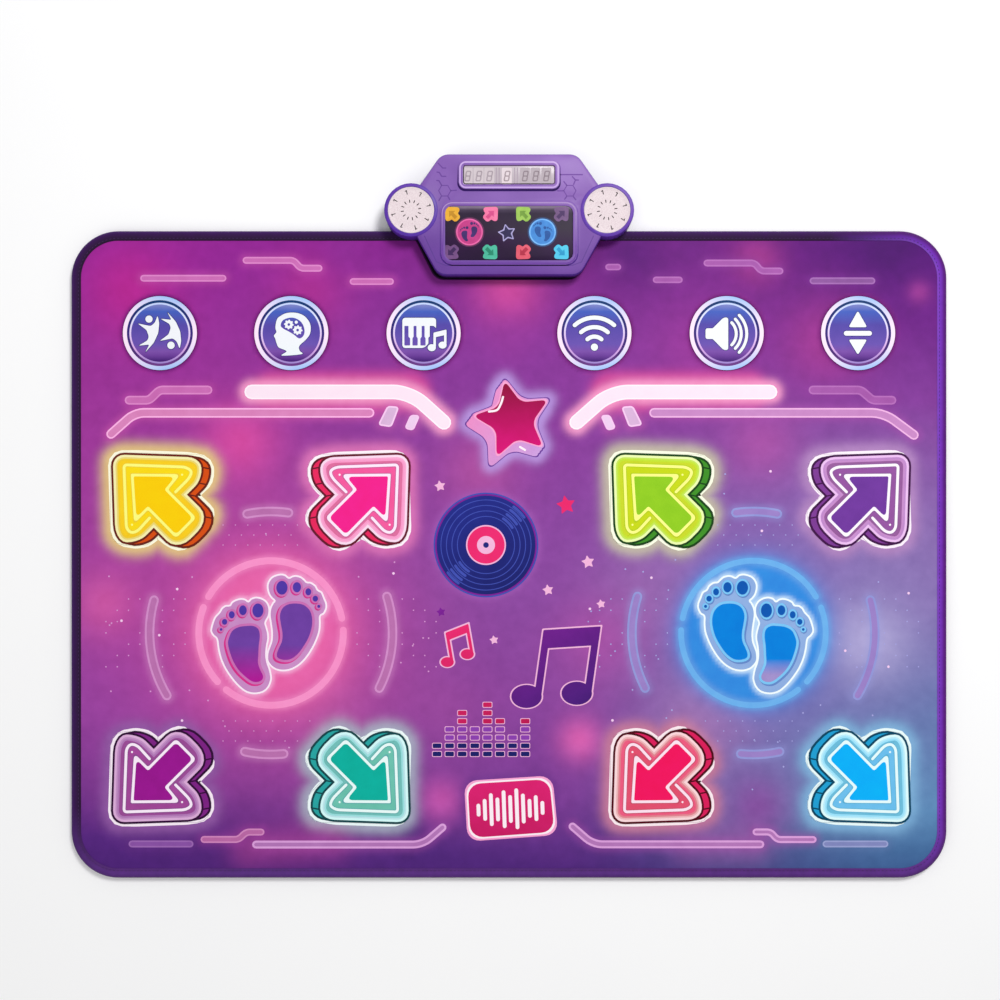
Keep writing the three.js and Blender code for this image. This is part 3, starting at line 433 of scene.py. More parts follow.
SHEET_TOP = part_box("top_sheet")[1].z * 1000
PAD_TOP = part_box("arrow_pad_yellow")[1].z * 1000
print("the sheet's face lies at", round(SHEET_TOP, 2), "mm and a pad's at", round(PAD_TOP, 2))

# %% [markdown]
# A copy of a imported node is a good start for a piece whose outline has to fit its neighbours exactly. Its loose
# triangles are merged, and flat neighbours are dissolved into single faces, so that bevel and inset work on it.

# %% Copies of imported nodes
WELD_M = 0.000002
FLAT_DEGREES = 0.6


def copy_of(node):
    bm = bmesh.new()
    bm.from_mesh(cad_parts[node].data)
    bmesh.ops.remove_doubles(bm, verts=bm.verts, dist=WELD_M)
    bmesh.ops.dissolve_limit(bm, angle_limit=math.radians(FLAT_DEGREES), verts=bm.verts, edges=bm.edges)
    bm.transform(Matrix.Scale(1000, 4))
    return bm


def top_face(bm):
    highest = max(v.co.z for v in bm.verts)
    level = [f for f in bm.faces if f.normal.z > 0.99 and f.calc_center_median().z > highest - 0.01]
    return max(level, key=lambda f: f.calc_area())


def ease_rim(bm):
    rim = list(top_face(bm).edges)
    bmesh.ops.bevel(bm, geom=rim, offset=0.35, segments=3, profile=0.5, affect="EDGES", clamp_overlap=True, material=-1)


def extent(node):
    low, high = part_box(node)
    return ((low + high) / 2 * 1000).xy, ((high - low) / 2 * 1000).xy, low.z * 1000, high.z * 1000


def outline_of(node):
    bm = copy_of(node)
    points = [v.co.xy.copy() for v in top_face(bm).verts]
    bm.free()
    return points


print("a pad's outline has", len(outline_of("arrow_pad_yellow")), "points")
# %% [markdown]
# ## The arrow pads
# Each pad is a soft tile under the same vinyl. It is printed as a thick arrow tile: a dark line, a slanted side wall,
# a pale border that deepens into the coloured face, an open neon line, and the arrow itself. The drawing is made
# once, from the tip of the arrow, and mirrored for the other directions.

# %% Inks of the arrow pads
PAD_PARTS = ("face", "inner", "arrow", "wall", "neon", "pale", "rim", "mid", "line", "deep", "halo", "crisp")
PAD_CARDS = {
    "yellow": "#fbcf1e #fcdc14 #fccf02 #d84e10 #fffd80 #f8f0b0 #ecd874 #f4cc28 #6a2014 #f0ce34 #e6c880 #fffce2",
    "pink": "#de6f9f #f45a9e #f4218e #e8285e #feeafb #fbdaf0 #f9a8d2 #f99bcb #66182c #c9609a #dc74b6 #fff4fb",
    "green": "#c8d82a #c8d916 #91cc21 #3f8f26 #fdff8c #ecfcb0 #c4e458 #c3e233 #184216 #b4cc1e #c4bca4 #fafee6",
    "violet": "#965c9a #94549f #70389c #7c3a92 #fef6ff #ecbff0 #bf8aca #c58bc9 #401048 #8a5a98 #b286be #fcf0fb",
    "magenta": "#9c4c97 #a4489a #99128f #7e2084 #fdeefd #deaedb #c490c6 #b47ab9 #300436 #8c4c90 #925aa4 #fceefa",
    "teal": "#72beb8 #6cc2ae #06b09e #26a4a2 #ecfefc #d6fdfc #bee6ec #9ce0e0 #10444a #5cacac #a6acc0 #effcfc",
    "red": "#ee5a80 #e45070 #f3125f #da1c5a #ffe4f2 #fdd8dc #ecb6b8 #e2808e #500516 #c8506a #c87c9a #feecf2",
    "sky": "#6ebedc #6cc0ee #04b2fa #1e9ed2 #e8feff #e0feff #bceefd #9ee4fc #044662 #5cb4d6 #80b2da #ecfdfd",
}
PAD_INKS = {colour: dict(zip(PAD_PARTS, cards.split())) for colour, cards in PAD_CARDS.items()}
for colour, cards in PAD_INKS.items():
    for part, card in cards.items():
        ink(f"{colour}_{part}", card)
print(len(INKS), "inks so far")

# %% [markdown]
# Distances below are in picture pixels from the arrow's tip, to the right and down, as the tile is drawn for an
# arrow that points up and to the left. The tile's side wall is the same outline, moved by `WALL_RUN`.

# %% The drawing of a pad
TILE = [(-19.1, -21.8), (70.8, -18.6), (72.3, 4.6), (57.4, 19.5), (81.4, 43.3), (46.8, 77.8), (23, 53.9), (8.6, 68.1),
        (-16.2, 68)]
TILE_CUTS = [13, 14, 12.5, 0, 20, 19, 0, 14, 19]
WALL_RUN = (7.6, 1.5)
WALL_MARKS = [(70.3, -8), (68.5, 8), (57.4, 19.5), (73, 41.5)]
ARROW = [(1.6, 0), (47, 0.4), (35.4, 14.5), (63.5, 42.6), (45.2, 61), (17.3, 32.6), (4.6, 45.3)]
ARROW_CUTS = [1.5, 6, 2, 4, 4, 2, 6]
OPEN_LINE = [(44.8, 16.8), (62.5, -1), (57, -8), (-6.8, -10.3), (-4.3, 55.5), (4.5, 58.5), (18.8, 42.8)]
OPEN_CUTS = [0, 10, 6, 3, 6, 7, 0]
DOTS = [(51.3, -0.4), (1.3, 49.6)]
TILE_SPAN = 99.6
TIP_BELOW = 21.0
TIP_INWARD = {1: 20.5, -1: 16.4}
ARROW_HEADINGS = {
    "yellow": (1, 1), "pink": (-1, 1), "green": (1, 1), "violet": (-1, 1),
    "magenta": (1, -1), "teal": (-1, -1), "red": (1, -1), "sky": (-1, -1),
}


def arrow_tip(outline, across, down):
    xs = [p.x for p in outline]
    ys = [p.y for p in outline]
    inward, below = TIP_INWARD[across] * PICTURE_MM, TIP_BELOW * PICTURE_MM
    x = min(xs) + inward if across > 0 else max(xs) - inward
    y = max(ys) - below if down > 0 else min(ys) + below
    return Vector((x, y))


print("the tile is", round(TILE_SPAN * PICTURE_MM), "mm wide without its wall")

# %% [markdown]
# The pad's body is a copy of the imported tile, with a small bevel along its upper edge, in the tone of its halo. Its
# sole is lifted a hair off the spacer. The prints ride on it, so they sink with the pad when a foot presses it. A
# near-white band runs round the drawing at an even width: it ends on the tile where the tile is wide enough, and is
# continued on the sheet where it isn't.
#
# The prints are tables of plates, each a layer above the last: how far its outline is grown in millimetres, and its
# ink. The side wall is printed twice, at its full run and halfway, so that no gap opens between it and the tile.

# %% Make the eight pads
def pad_press(bm, inks):
    press = Press(PAD_TOP)
    press.bm.free()
    press.bm = bm
    press.inks = inks
    return press


SOLE_LIFT_MM = 0.05
WALL_PLATES = ((1.0, 1.6, "line"), (0.5, 1.6, "line"), (1.0, -1.3, "wall"), (0.5, -1.3, "wall"))
TILE_PLATES = ((1.5, "line"), (-1.3, "pale"), (-4.4, "rim"), (-6.6, "mid"), (-9.0, "face"))
ARROW_PLATES = ((2.9, "deep"), (1.9, "neon"), (-1.6, "arrow"))
BAND_WIDTH_MM = 5.4


def tile_body(node, base):
    bm = copy_of(node)
    sole = min(v.co.z for v in bm.verts)
    lowest = [v for v in bm.verts if v.co.z < sole + SOLE_LIFT_MM]
    bmesh.ops.translate(bm, verts=lowest, vec=(0, 0, SOLE_LIFT_MM))
    ease_rim(bm)
    return pad_press(bm, [base])


def placed(points, tip, across, down):
    return local(points, tip, 1, 0, across, down)


def drawn(points, cuts, tip, across, down, by=0.0, closed=True):
    corners = placed(points, tip, across, down)
    return rounded(grown(corners, by) if by else corners, [c * PICTURE_MM for c in cuts], closed)


def moved(points, share):
    return [(x + WALL_RUN[0] * share, y + WALL_RUN[1] * share) for x, y in points]


def gap_to(point, path):
    runs = path[1:] - path[:-1]
    offset = np.array(point) - path[:-1]
    share = np.clip((offset * runs).sum(axis=1) / np.maximum((runs * runs).sum(axis=1), 1e-9), 0, 1)
    return np.linalg.norm(offset - share[:, None] * runs, axis=1).min()


def evenly(outline, step=2.5):
    made = []
    for i, point in enumerate(outline):
        run = point - outline[i - 1]
        count = math.ceil(run.length / step)
        made += [outline[i - 1] + run * k / count for k in range(count)]
    return made


def band_reach(outline, shapes):
    paths = [np.array([tuple(p) for p in shape + shape[:1]]) for shape in shapes]
    reach = [BAND_WIDTH_MM - min(gap_to(point, path) for path in paths) for point in outline]
    return [sum(reach[(i + k) % len(reach)] for k in range(-2, 3)) / 5 for i in range(len(reach))]


lines = Press(SHEET_TOP)
pad_outlines = {}
for colour, (across, down) in ARROW_HEADINGS.items():
    node = "arrow_pad_" + colour
    outline = outline_of(node)
    pad_outlines[colour] = outline
    press = tile_body(node, colour + "_halo")
    way = (arrow_tip(outline, across, down), across, down)
    tiles = {share: drawn(moved(TILE, share), TILE_CUTS, *way) for share in (1.0, 0.5, 0.0)}
    rim = evenly(outline)
    reach = band_reach(rim, list(tiles.values()))
    for face in [f for f in press.bm.faces if f.normal.z < 0.99]:
        at = face.calc_center_median().xy
        nearest = min(range(len(rim)), key=lambda i: (rim[i] - at).length_squared)
        face.material_index = press.index(colour + "_crisp") if reach[nearest] > -0.5 else 0
    press.plate(grown(rim, [min(by, -0.5) for by in reach]), colour + "_crisp", 1)
    for layer, (share, by, part) in enumerate(WALL_PLATES, 2):
        press.plate(grown(tiles[share], by), f"{colour}_{part}", layer)
    for mark in WALL_MARKS:
        press.line(placed([mark, *moved([mark], 1)], *way), 1.8, colour + "_line", 6)
    for layer, (by, part) in enumerate(TILE_PLATES, 7):
        press.plate(grown(tiles[0.0], by), f"{colour}_{part}", layer)
    press.plate(drawn(OPEN_LINE, OPEN_CUTS, *way), colour + "_inner", 12)
    open_line = drawn(OPEN_LINE, OPEN_CUTS, *way, closed=False)
    press.line(open_line, 5.6, colour + "_deep", 13)
    press.line(open_line, 3.6, colour + "_neon", 14)
    for layer, (by, part) in enumerate(ARROW_PLATES, 15):
        press.plate(drawn(ARROW, ARROW_CUTS, *way, by=by), f"{colour}_{part}", layer)
    for dot in placed(DOTS, *way):
        press.plate(circle(dot, 1.4, 12), colour + "_neon", 14)
    pad = printed("pad_" + colour, press, node, colour + "_print")
    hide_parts(node)
    edge = grown(rim, [max(by, 0.3) for by in reach])
    lines.band(edge, grown(rim, 0.2), colour + "_crisp", 1)
    glow(edge[::3], PAD_INKS[colour]["halo"], 11.5, 0.88, 0.0, True)
print(len(pad_outlines), "pads are printed")


# %% [markdown]
# ## The round buttons
# A button is printed as a glassy disc in a pale ring, with a navy groove and a second thin ring. Its sign is white
# with a breath of cyan, which keeps it readable from where a player stands. The signs are the everyday ones: two
# dancers, a head with gears for the memory game, piano keys, radio waves, a loudspeaker and a level switch.

# %% Inks of the buttons
def dial_ink(name, node, stops, bend=None):
    low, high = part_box(node)

    def recipe(w):
        rise = slope(w, (0.0, low.y, 0.0), (0.0, high.y, 0.0))
        if bend:
            across = slope(w, (low.x, 0.0, 0.0), (high.x, 0.0, 0.0))
            away = w.maths("POWER", w.maths("ABSOLUTE", rise * 2.0 - 1.0), 2.0)
            colour = mix(w, w.maths("MULTIPLY", away, across * bend[0] + bend[1], True), hue(stops[0]), hue(stops[1]))
        else:
            colour = ramp(w, rise, *stops)
        return vinyl(w, colour, 0.34, 0.15)

    INKS[name] = finish("ink_" + name, recipe)


BUTTONS = ("game", "memory", "piano", "wireless", "volume", "level")
RING_STOPS, SIGN_STOPS = ("#fce6fa", "#8cbcf6"), ("#f2f4fa", "#dcf8f4")
GROOVE_STOPS = ((0.06, "#74408a"), (0.25, "#4c2a74"), (0.5, "#3a2a7a"), (0.75, "#1c2c70"), (0.93, "#164070"))
THIN_STOPS = ((0.12, "#9c84cc"), (0.3, "#d8a8e4"), (0.5, "#e4cdf6"), (0.7, "#e0e4fc"), (0.88, "#c4d4fc"))
GLASS_STOPS = ((0.12, "#3e1a68"), (0.16, "#4a2478"), (0.22, "#6c3f98"), (0.27, "#7a4ea6"), (0.36, "#6a52ae"),
               (0.6, "#5649a6"), (0.77, "#4560bc"), (0.87, "#8489c6"))
for button in BUTTONS:
    node = "button_" + button
    dial_ink(button + "_ring", node, RING_STOPS, (1.3, 0.3))
    dial_ink(button + "_groove", node, GROOVE_STOPS)
    dial_ink(button + "_thin", node, THIN_STOPS)
    dial_ink(button + "_sign", node, SIGN_STOPS, (0.7, 0.45))
    dial_ink(button + "_glass", node, GLASS_STOPS)
ink("sign_edge", "#2e2a72")
# The buttons' bodies take a dark tone of painted shade.
ink("button_shadow", "#6e1466")
print("buttons have", len(BUTTONS) * 5, "inks")

# %% [markdown]
# Each sign is a short list of outlines in picture pixels from the button's centre. White shapes get a thin navy
# edge, printed below all of them; glass-coloured shapes lie on top, like windows in the white.

# %% The signs
DANCER = [(-22.2, -9.7), (-15, -8.2), (-9, -7), (-5, -10.4), (-2.2, -17.6), (-0.6, -10), (-1.6, 0), (-6, 9.6),
          (-14.6, 19.4), (-10.4, 11.4), (-21.4, 12.6), (-12.4, 7.4), (-11, 3.6), (-13.2, -3)]
HEAD = [(-14.1, -14.2), (-10.6, -17.3), (-5.5, -19.8), (0.7, -20.6), (7.3, -19.8), (13.4, -16.8), (18, -11.2),
        (19.5, -5.1), (18.3, 1.6), (13.9, 7.2), (9.3, 11.3), (7.6, 14.3), (8.6, 17.9), (10.4, 21), (-9.5, 22.5),
        (-4.9, 18.7), (-6.5, 16.9), (-12.6, 14.3), (-14.6, 10.3), (-16.2, 5.2), (-17.4, 2.6), (-14.9, -1),
        (-15.7, -4), (-15.7, -8.1)]
BRAIN = [(-10.6, -7.6), (-8.5, -12.7), (-2.4, -15.3), (3.7, -15), (9.8, -11.2), (12.9, -5.1), (12.9, 1.1),
         (9.8, 4.9), (6.8, 4.9), (2.7, 1.6), (-2.4, -1.5), (-8, -4.5)]
KEYS = [(-21.2, -15.3), (12.5, -15.3), (12.5, -5), (10.2, -7.2), (6.2, -7.2), (6.2, 3.5), (4.8, 4.5), (4.8, 10.4),
        (0.8, 14.9), (-21.2, 14.9)]
KEY_GAPS = [(-19.1, -15.1, -19.1, -13.5), (-9.9, -7.1, -11, -5.9), (-1.8, 1.0, -3.1, 2.0)]
CONE = [(-21.2, -4.8), (-14, -4.8), (-3.2, -15.6), (1.5, -15.6), (1.5, 16.9), (-3.2, 16.9), (-14, 5.9), (-21.2, 5.9)]


def sign_shapes(middle, sign):
    def sharp(points, cuts):
        cuts = cuts if isinstance(cuts, list) else [cuts] * len(points)
        return rounded(local(points, middle), [c * PICTURE_MM for c in cuts])

    def stroke(points, width):
        return ribbon(local(points, middle), width * PICTURE_MM)

    def dot(x, y, radius, squash=1.0):
        return circle(local([(x, y)], middle)[0], radius * PICTURE_MM, 20, squash)

    def arc(x, y, radius, start, stop, width):
        turns = [math.radians(start + (stop - start) * i / 12) for i in range(13)]
        return stroke([(x + radius * math.cos(t), y - radius * math.sin(t)) for t in turns], width)

    def gear(x, y, radius):
        points = []
        for i in range(32):
            reach = radius * (1.16 if i % 4 < 2 else 0.92)
            points.append((x + reach * math.cos(math.tau * i / 32), y + reach * math.sin(math.tau * i / 32)))
        return local(points, middle)

    if sign == "game":
        flipped = [(x + 22, -y - 1.8) for x, y in DANCER]
        return [sharp(DANCER, 1.6), dot(-10.8, -14.0, 3.6), sharp(flipped, 1.6), dot(11.2, 12.2, 3.7)], []
    if sign == "memory":
        gears = ((-2.4, -8.6), (6.4, -3.0))
        on_top = [(flowing(local(BRAIN, middle)), "glass"), *[(gear(x, y, 4.2), "sign") for x, y in gears]]
        on_top += [(dot(5, -10.9, 1.6), "sign"), *[(dot(x, y, 1.3), "glass") for x, y in gears]]
        return [flowing(local(HEAD, middle))], on_top
    if sign == "piano":
        white = [sharp(KEYS, [3, 3, 0.6, 0.8, 0.6, 0.5, 0.5, 0.5, 3, 3])]
        white += [stroke([(11.1, 13), (11.1, 1)], 2.5), stroke([(21.7, 10), (21.7, -2)], 2.5)]
        white += [sharp([(9.9, -0.4), (22.9, -3.6), (22.9, 1.6), (9.9, 4.6)], 0.8)]
        white += [dot(8.2, 14.6, 4.1, 0.86), dot(19.0, 12, 4.1, 0.86)]
        gaps = [sharp([(a, -7.1), (b, -7.1), (b, 3.6), (d, 5.2), (d, 12.3), (c, 12.3), (c, 5.2), (a, 3.6)], 0.5)
                for a, b, c, d in KEY_GAPS]
        return white, [(gap, "glass") for gap in gaps]
    if sign == "wireless":
        return [dot(0, 14, 3.6), *[arc(0, 14, radius, 48, 132, 4.2) for radius in (10.5, 20, 29.5)]], []
    if sign == "volume":
        white = [sharp(CONE, [2, 0.5, 2.2, 2.2, 2.2, 2.2, 0.5, 2])]
        return white + [arc(-6.4, 0.7, radius, -44.5, 44.5, 3.0) for radius in (15.9, 20.9, 26.4)], []
    white = [sharp([(-0.3, tip), (9.0, foot), (-9.6, foot)], 2.2) for tip, foot in ((-22.4, -5.9), (21.8, 6.4))]
    return white + [stroke([(-12, 0.2), (11.4, 0.2)], 4.8)], []


def print_sign(press, middle, sign):
    white, on_top = sign_shapes(middle, sign)
    stack = [(grown(outline, 0.8), "sign_edge") for outline in white]
    stack += [(outline, sign + "_sign") for outline in white]
    stack += [(outline, f"{sign}_{part}") for outline, part in on_top]
    for layer, (outline, name) in enumerate(stack, 2):
        press.plate(outline, name, layer)
    return len(stack)


print("the head sign has", len(HEAD), "points")

# %% [markdown]
# The button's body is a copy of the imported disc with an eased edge. Its rings are inset one by one into a plate, from
# the pale outer ring to the navy groove and the thin inner ring, each with its width in millimetres.

# %% Make the six buttons
DIAL_RINGS = ((5.3, "ring"), (3.3, "groove"), (2.3, "thin"))
DIAL_MM, DIAL_SHADE_MM = 48.6, 49.6
button_outlines = {}
for button in BUTTONS:
    node = "button_" + button
    button_outlines[button] = outline_of(node)
    middle = extent(node)[0]
    bm = copy_of(node)
    ease_rim(bm)
    press = pad_press(bm, ["button_shadow"])
    rings = [(width, f"{button}_{part}") for width, part in DIAL_RINGS]
    press.plate(circle(middle, DIAL_MM, 72), button + "_glass", 1, rings)
    print(button, "sign:", print_sign(press, middle, button), "plates")
    disc = printed("dial_" + button, press, node, "button_print")
    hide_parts(node)
    # A dark ring on the sheet round each button is painted shade at the button's foot.
    glow(circle(middle, DIAL_SHADE_MM, 40), "#6e1570", 3.2, 0.85, 0.0, True)
# %% [markdown]
# ## The neon lines
# Long glowing bars and thin outlined lines frame the playing field like the rails of an arcade. The bars are almost
# white in a wide pink glow, the rails are translucent pink with a lighter outline, and each rail takes a tone that
# suits the colour of the ground round it.

# %% Inks of the neon lines
ink("bar_core", "#fbe4f3")
ink("bar_edge", "#fff4fc")
RAIL_CARDS = {
    "rose": ("#ca6cb4", "#dc86c8", "#c04ea6"), "dusk": ("#a458a8", "#b56cb8", "#8a3a96"),
    "bright": ("#da84bc", "#fdb4e6", "#d25cae"), "bright_far": ("#c888c4", "#f0b4e4", "#a850a8"),
    "low": ("#8950a4", "#9c66b2", "#6a3288"), "low_rose": ("#bb68a6", "#d286be", "#963c98"),
    "low_bright": ("#b476b8", "#dca0dc", "#a04ca4"), "low_sky": ("#8288be", "#9aa2d2", "#6078ac"),
    "faint": ("#8a5499", "#a269b0", "#7a2e90"),
}
for name, (core, edge, _) in RAIL_CARDS.items():
    ink("rail_" + name, core)
    ink("rail_edge_" + name, edge)
ink("block", "#d8b2d8")
ink("block_edge", "#f6caf0")
ink("block_small", "#eccdec")
ink("sparkle", "#d796d0")
ink("sparkle_bright", "#f6cdf0")
ink("sparkle_blue", "#a7a4de")
print(len(INKS), "inks so far")

# %% [markdown]
# A rail is a row of a table: its tone, its width in millimetres, how far its corners are cut, and the corners in
# picture pixels. The wide pink band of a bar lies along most of its level part, and a narrower glow follows the
# whole bar.

# %% Make the neon lines
RAIL_EDGE_MM = {"low_bright": 2.7}
BAR_WIDE, BAR_BEND = 14.6, 17
BAND_SHARE, BAND_HALF_MM = 0.86, 17.6


def bar(*points):
    path = rounded(spots(*points), BAR_BEND * PICTURE_MM, closed=False, steps=10)
    ends = sorted(points, key=lambda p: (p[1], abs(p[0] - 510)))[:2]
    near, far = spots(*ends)
    glow([near, near.lerp(far, BAND_SHARE)], "#cb4798", 11.0, 0.93, BAND_HALF_MM)
    lit_line(lines, path, BAR_WIDE * PICTURE_MM, "bar_core", 2, [(1.8, "bar_edge")], "#faa0cc", 8.0, 0.8)


bar((251.6, 391.9), (410, 391.9), (443.9, 422.4))
bar((576.5, 422.4), (611, 392), (770.1, 392))
RAILS = (
    ("bright", 12.6, 9.0, (111, 434), (134.8, 412.8), (369.6, 412.8)),
    ("bright_far", 12.6, 12.0, (654, 412.8), (884, 412.8), (914, 435)),
    ("rose", 11.6, 3.2, (129, 400.2), (149, 400.2), (159.6, 390), (208, 390)),
    ("dusk", 11.6, 3.2, (813, 390), (860.8, 390), (872.6, 400.2), (892, 400.2)),
    ("rose", 9.2, 3.2, (246, 260.3), (293.5, 260.3), (300.6, 268.2), (319, 268.2)),
    ("dusk", 9.2, 3.2, (707, 263), (754.4, 263), (761.3, 271), (780, 271)),
    ("low_rose", 9.2, 3.2, (204, 839.5), (238.4, 839.5), (246.3, 832.1), (261, 832.1)),
    ("low_bright", 9.2, 3.2, (756, 832), (770.5, 832), (777.4, 839.6), (813.2, 839.6)),
    ("rose", 9.0, 3.2, (143.5, 278.2), (223, 278.2)),
    ("rose", 9.0, 3.2, (353, 281.5), (390.5, 281.5)),
    ("dusk", 8.6, 3.2, (608.5, 267), (618, 267)),
    ("dusk", 8.6, 3.2, (656, 279.8), (679.5, 279.8)),
    ("faint", 9.0, 3.2, (813, 280.8), (872, 280.8)),
    ("low", 9.2, 3.2, (132, 844), (190, 844)),
    ("low_sky", 9.0, 3.2, (826, 844), (885, 844)),
    ("low_bright", 10.4, 9.0, (256, 844.6), (422.6, 844.6), (442.5, 827.5)),
    ("low_bright", 10.4, 9.0, (572.5, 826.5), (593, 844.4), (760.4, 844.4)),
)
for tone, width, cut, *points in RAILS:
    path = rounded(spots(*points), cut * PICTURE_MM, closed=False)
    borders = [(RAIL_EDGE_MM.get(tone, 2.0), "rail_edge_" + tone)]
    lit_line(lines, path, width, "rail_" + tone, 1, borders, RAIL_CARDS[tone][2], 6.0, 0.35)
glow(spots((250, 848), (330, 840)), "#b8459c", 24.0, 0.4, 4.0)
glow(spots((690, 843.4), (750, 843.4)), "#b060b0", 24.0, 0.35, 4.0)
print(len(GLOWS), "lights so far")

# %% [markdown]
# Close to the foot of the control unit no light reaches the sheet. A soft lamp can't draw such a thin dark edge, so
# it is printed: the unit's footprint, moved a little away from the light, first in a half tone and then dark.

# %% The dark edge at the unit's foot
UNIT_FOOT = [(-121, 372), (-97.2, 324.7), (-94.3, 320.9), (-90.6, 318), (-86.2, 316.1), (-81.4, 315.5),
             (81.4, 315.5), (86.2, 316.1), (90.6, 318), (94.3, 320.9), (97.2, 324.7), (116, 360), (100, 380),
             (-100, 380)]
FOOT_SHADES = (("foot_half_shade", "#3c1046", (-4.0, -2.7)), ("foot_shade", "#0a0114", (-2.8, -1.4)))
for layer, (name, card, away) in enumerate(FOOT_SHADES, 1):
    ink(name, card)
    lines.plate([Vector(at) + Vector(away) for at in UNIT_FOOT], name, layer)
print("the unit's foot has", len(UNIT_FOOT), "corners")

# %% [markdown]
# Two slanted blocks follow each bar round its bend. They are the same shapes left and right, mirrored.

# %% Make the slanted blocks
BLOCKS = {
    "block": [(387.9, 406.6), (398.2, 407.5), (391, 426.3), (378.9, 424.5)],
    "block_small": [(411, 415.5), (419, 416), (412.9, 429.8), (405.4, 428)],
}
MIRROR_X = 1020.5
for name, corners_of in BLOCKS.items():
    for mirrored in (False, True):
        points = spots(*[(MIRROR_X - x if mirrored else x, y) for x, y in corners_of])
        outline = rounded(points, 2.6 * PICTURE_MM)
        lines.plate(grown(outline, 1.2), "block_edge", 1)
        lines.plate(grown(outline, -1.0), name, 2)
        glow(outline, "#c660ae", 8.0, 0.4, 0.0, True)
print(len(GLOWS), "lights are noted")

# %% [markdown]
# ## The two standing circles
# A player stands with bare feet on a glowing disc. The ring round it is broken by three gaps, four curved dashes
# stand further out, and the footprints have a white contour, a coloured sole and five toes. One foot is drawn, and
# the second pair is its mirror image in blue.

# %% Inks of the standing circles
FEET = {
    "pink": {"middle": (271, 633), "side": 1, "ring_width": 9.0, "halo": "#ec66ac", "half": 66.0, "reach": 44.0,
             "ring": "#f992ca", "dash": "#bb70ae", "dash_edge": "#d28cc8", "flesh": "#ca8cc6", "contour": "#cc70b6",
             "sole": "#6e3fa2", "heel": "#b01896", "toe": "#4e36a4", "rim": "#fdeaf8", "gleam": "#f8b2dc",
             "shade": "#d8308c", "shift": (-1.3, 1.2), "heel_run": (12, 46)},
    "blue": {"middle": (753.4, 633), "side": -1, "ring_width": 7.6, "halo": "#268ce2", "half": 80.0, "reach": 24.0,
             "ring": "#6cb0ec", "dash": "#9a80c6", "dash_edge": "#9296d6", "flesh": "#8eaee0", "contour": "#7cc6f4",
             "sole": "#0080dc", "heel": "#a290cc", "toe": "#0656b0", "rim": "#f4feff", "gleam": "#cfe8fc",
             "shade": "#6488c8", "shift": (1.2, 1.2), "heel_run": (26, 42)},
}
for name, look in FEET.items():
    x, y = look["middle"]
    for part in ("ring", "dash", "dash_edge", "flesh", "contour", "toe", "rim", "shade"):
        ink(f"{name}_{part}", look[part])
    start, end = ((x, y + below) for below in look["heel_run"])
    ink(name + "_sole", look["sole"], look["heel"], start, end)
print(len(INKS), "inks so far")

# %% The footprint
LOW_FOOT = [(-59.7, -3.8), (-58.2, -9.7), (-55.7, -15.7), (-51.3, -20.6), (-49, -24.4), (-45.4, -27),
            (-40.9, -27.5), (-38.9, -30.5), (-34.5, -33), (-29.5, -34), (-25.6, -33.2), (-22.6, -31.2),
            (-19.7, -34), (-14.7, -35.4), (-8.8, -34), (-4.3, -30.5), (-1.9, -24.6), (-2.4, -17.6), (-5.8, -10.7),
            (-4.8, -5.8), (-3.3, 0.1), (-3, 6.1), (-4.3, 13), (-5, 21.9), (-3.8, 29.8), (-1.4, 36.7), (0, 44.6),
            (-0.9, 49.6), (-3.3, 54.5), (-7.8, 58.5), (-14.7, 60.3), (-20.6, 59.9), (-26.6, 57.5), (-33.5, 51.6),
            (-39.4, 44.6), (-45.4, 35.7), (-49.8, 25.9), (-52.3, 16), (-53.8, 6.1), (-57.2, 2.6), (-59.4, -0.8)]
LOW_SOLE = [(-42.4, 6.1), (-38.9, -1.8), (-32.5, -5.8), (-24.6, -7), (-17.7, -7), (-12.7, -3.8), (-11.2, 3.1),
            (-12.2, 12), (-12.7, 21.9), (-13, 29.8), (-10.8, 36.7), (-8, 42.7), (-8.8, 46.6), (-12.7, 48.8),
            (-18.7, 48.4), (-25.6, 43.6), (-32.5, 36.7), (-37.9, 27.8), (-41.4, 17.9), (-42.9, 11)]
LOW_TOES = [(-13, -22.6, 5.5, 7), (-28, -22.8, 3.8, 4.9), (-39.2, -18.3, 2.9, 3.6), (-46.3, -11.2, 2.6, 2.9),
            (-49.8, -3.6, 1.3, 1.3)]
HIGH_FOOT = [(-3.3, -46.3), (-1.9, -51.8), (2.1, -56.2), (9, -58.4), (14, -57.7), (17.7, -54.9), (21.4, -56.4),
             (24.8, -57), (29.8, -55.7), (33.5, -52.7), (35.7, -50.6), (39.7, -50.1), (44.1, -47.1), (46.6, -42.9),
             (50.5, -40.4), (53, -34.5), (55, -29.5), (55, -24.6), (52.5, -19.6), (48.9, -17), (48.8, -9.7),
             (48.1, -1.8), (45.1, 7.1), (40.7, 16), (34.7, 24.9), (27.8, 31.8), (19.9, 36.2), (12, 37.5),
             (5.1, 36.2), (0.1, 32.8), (-3.4, 27.4), (-3.3, 19.9), (-1.4, 14), (0.6, 8.1), (1.1, 0.1), (0.1, -8.7),
             (-1.2, -17.6), (-0.4, -24.6), (2.1, -30), (4, -32.3), (1.1, -34.9), (-1.9, -39.4)]
HIGH_SOLE = [(9, -17.6), (11.5, -24.6), (16.9, -28.5), (24.8, -29.5), (32.7, -28), (38.7, -22.6), (41.1, -14.7),
             (40.7, -5.8), (37.7, 4.1), (32.7, 13), (26.8, 20.9), (19.9, 25.9), (13, 26.8), (7, 24.9), (5.9, 20.9),
             (8, 15), (11, 8.1), (11.5, 0.1), (10, -8.7)]
HIGH_TOES = [(11, -45.3, 5.6, 6.9), (26, -45.8, 4.1, 5.1), (37.4, -41.2, 2.9, 3.5), (44.4, -34.4, 2.7, 2.9),
             (47.9, -26.7, 1.5, 1.5)]


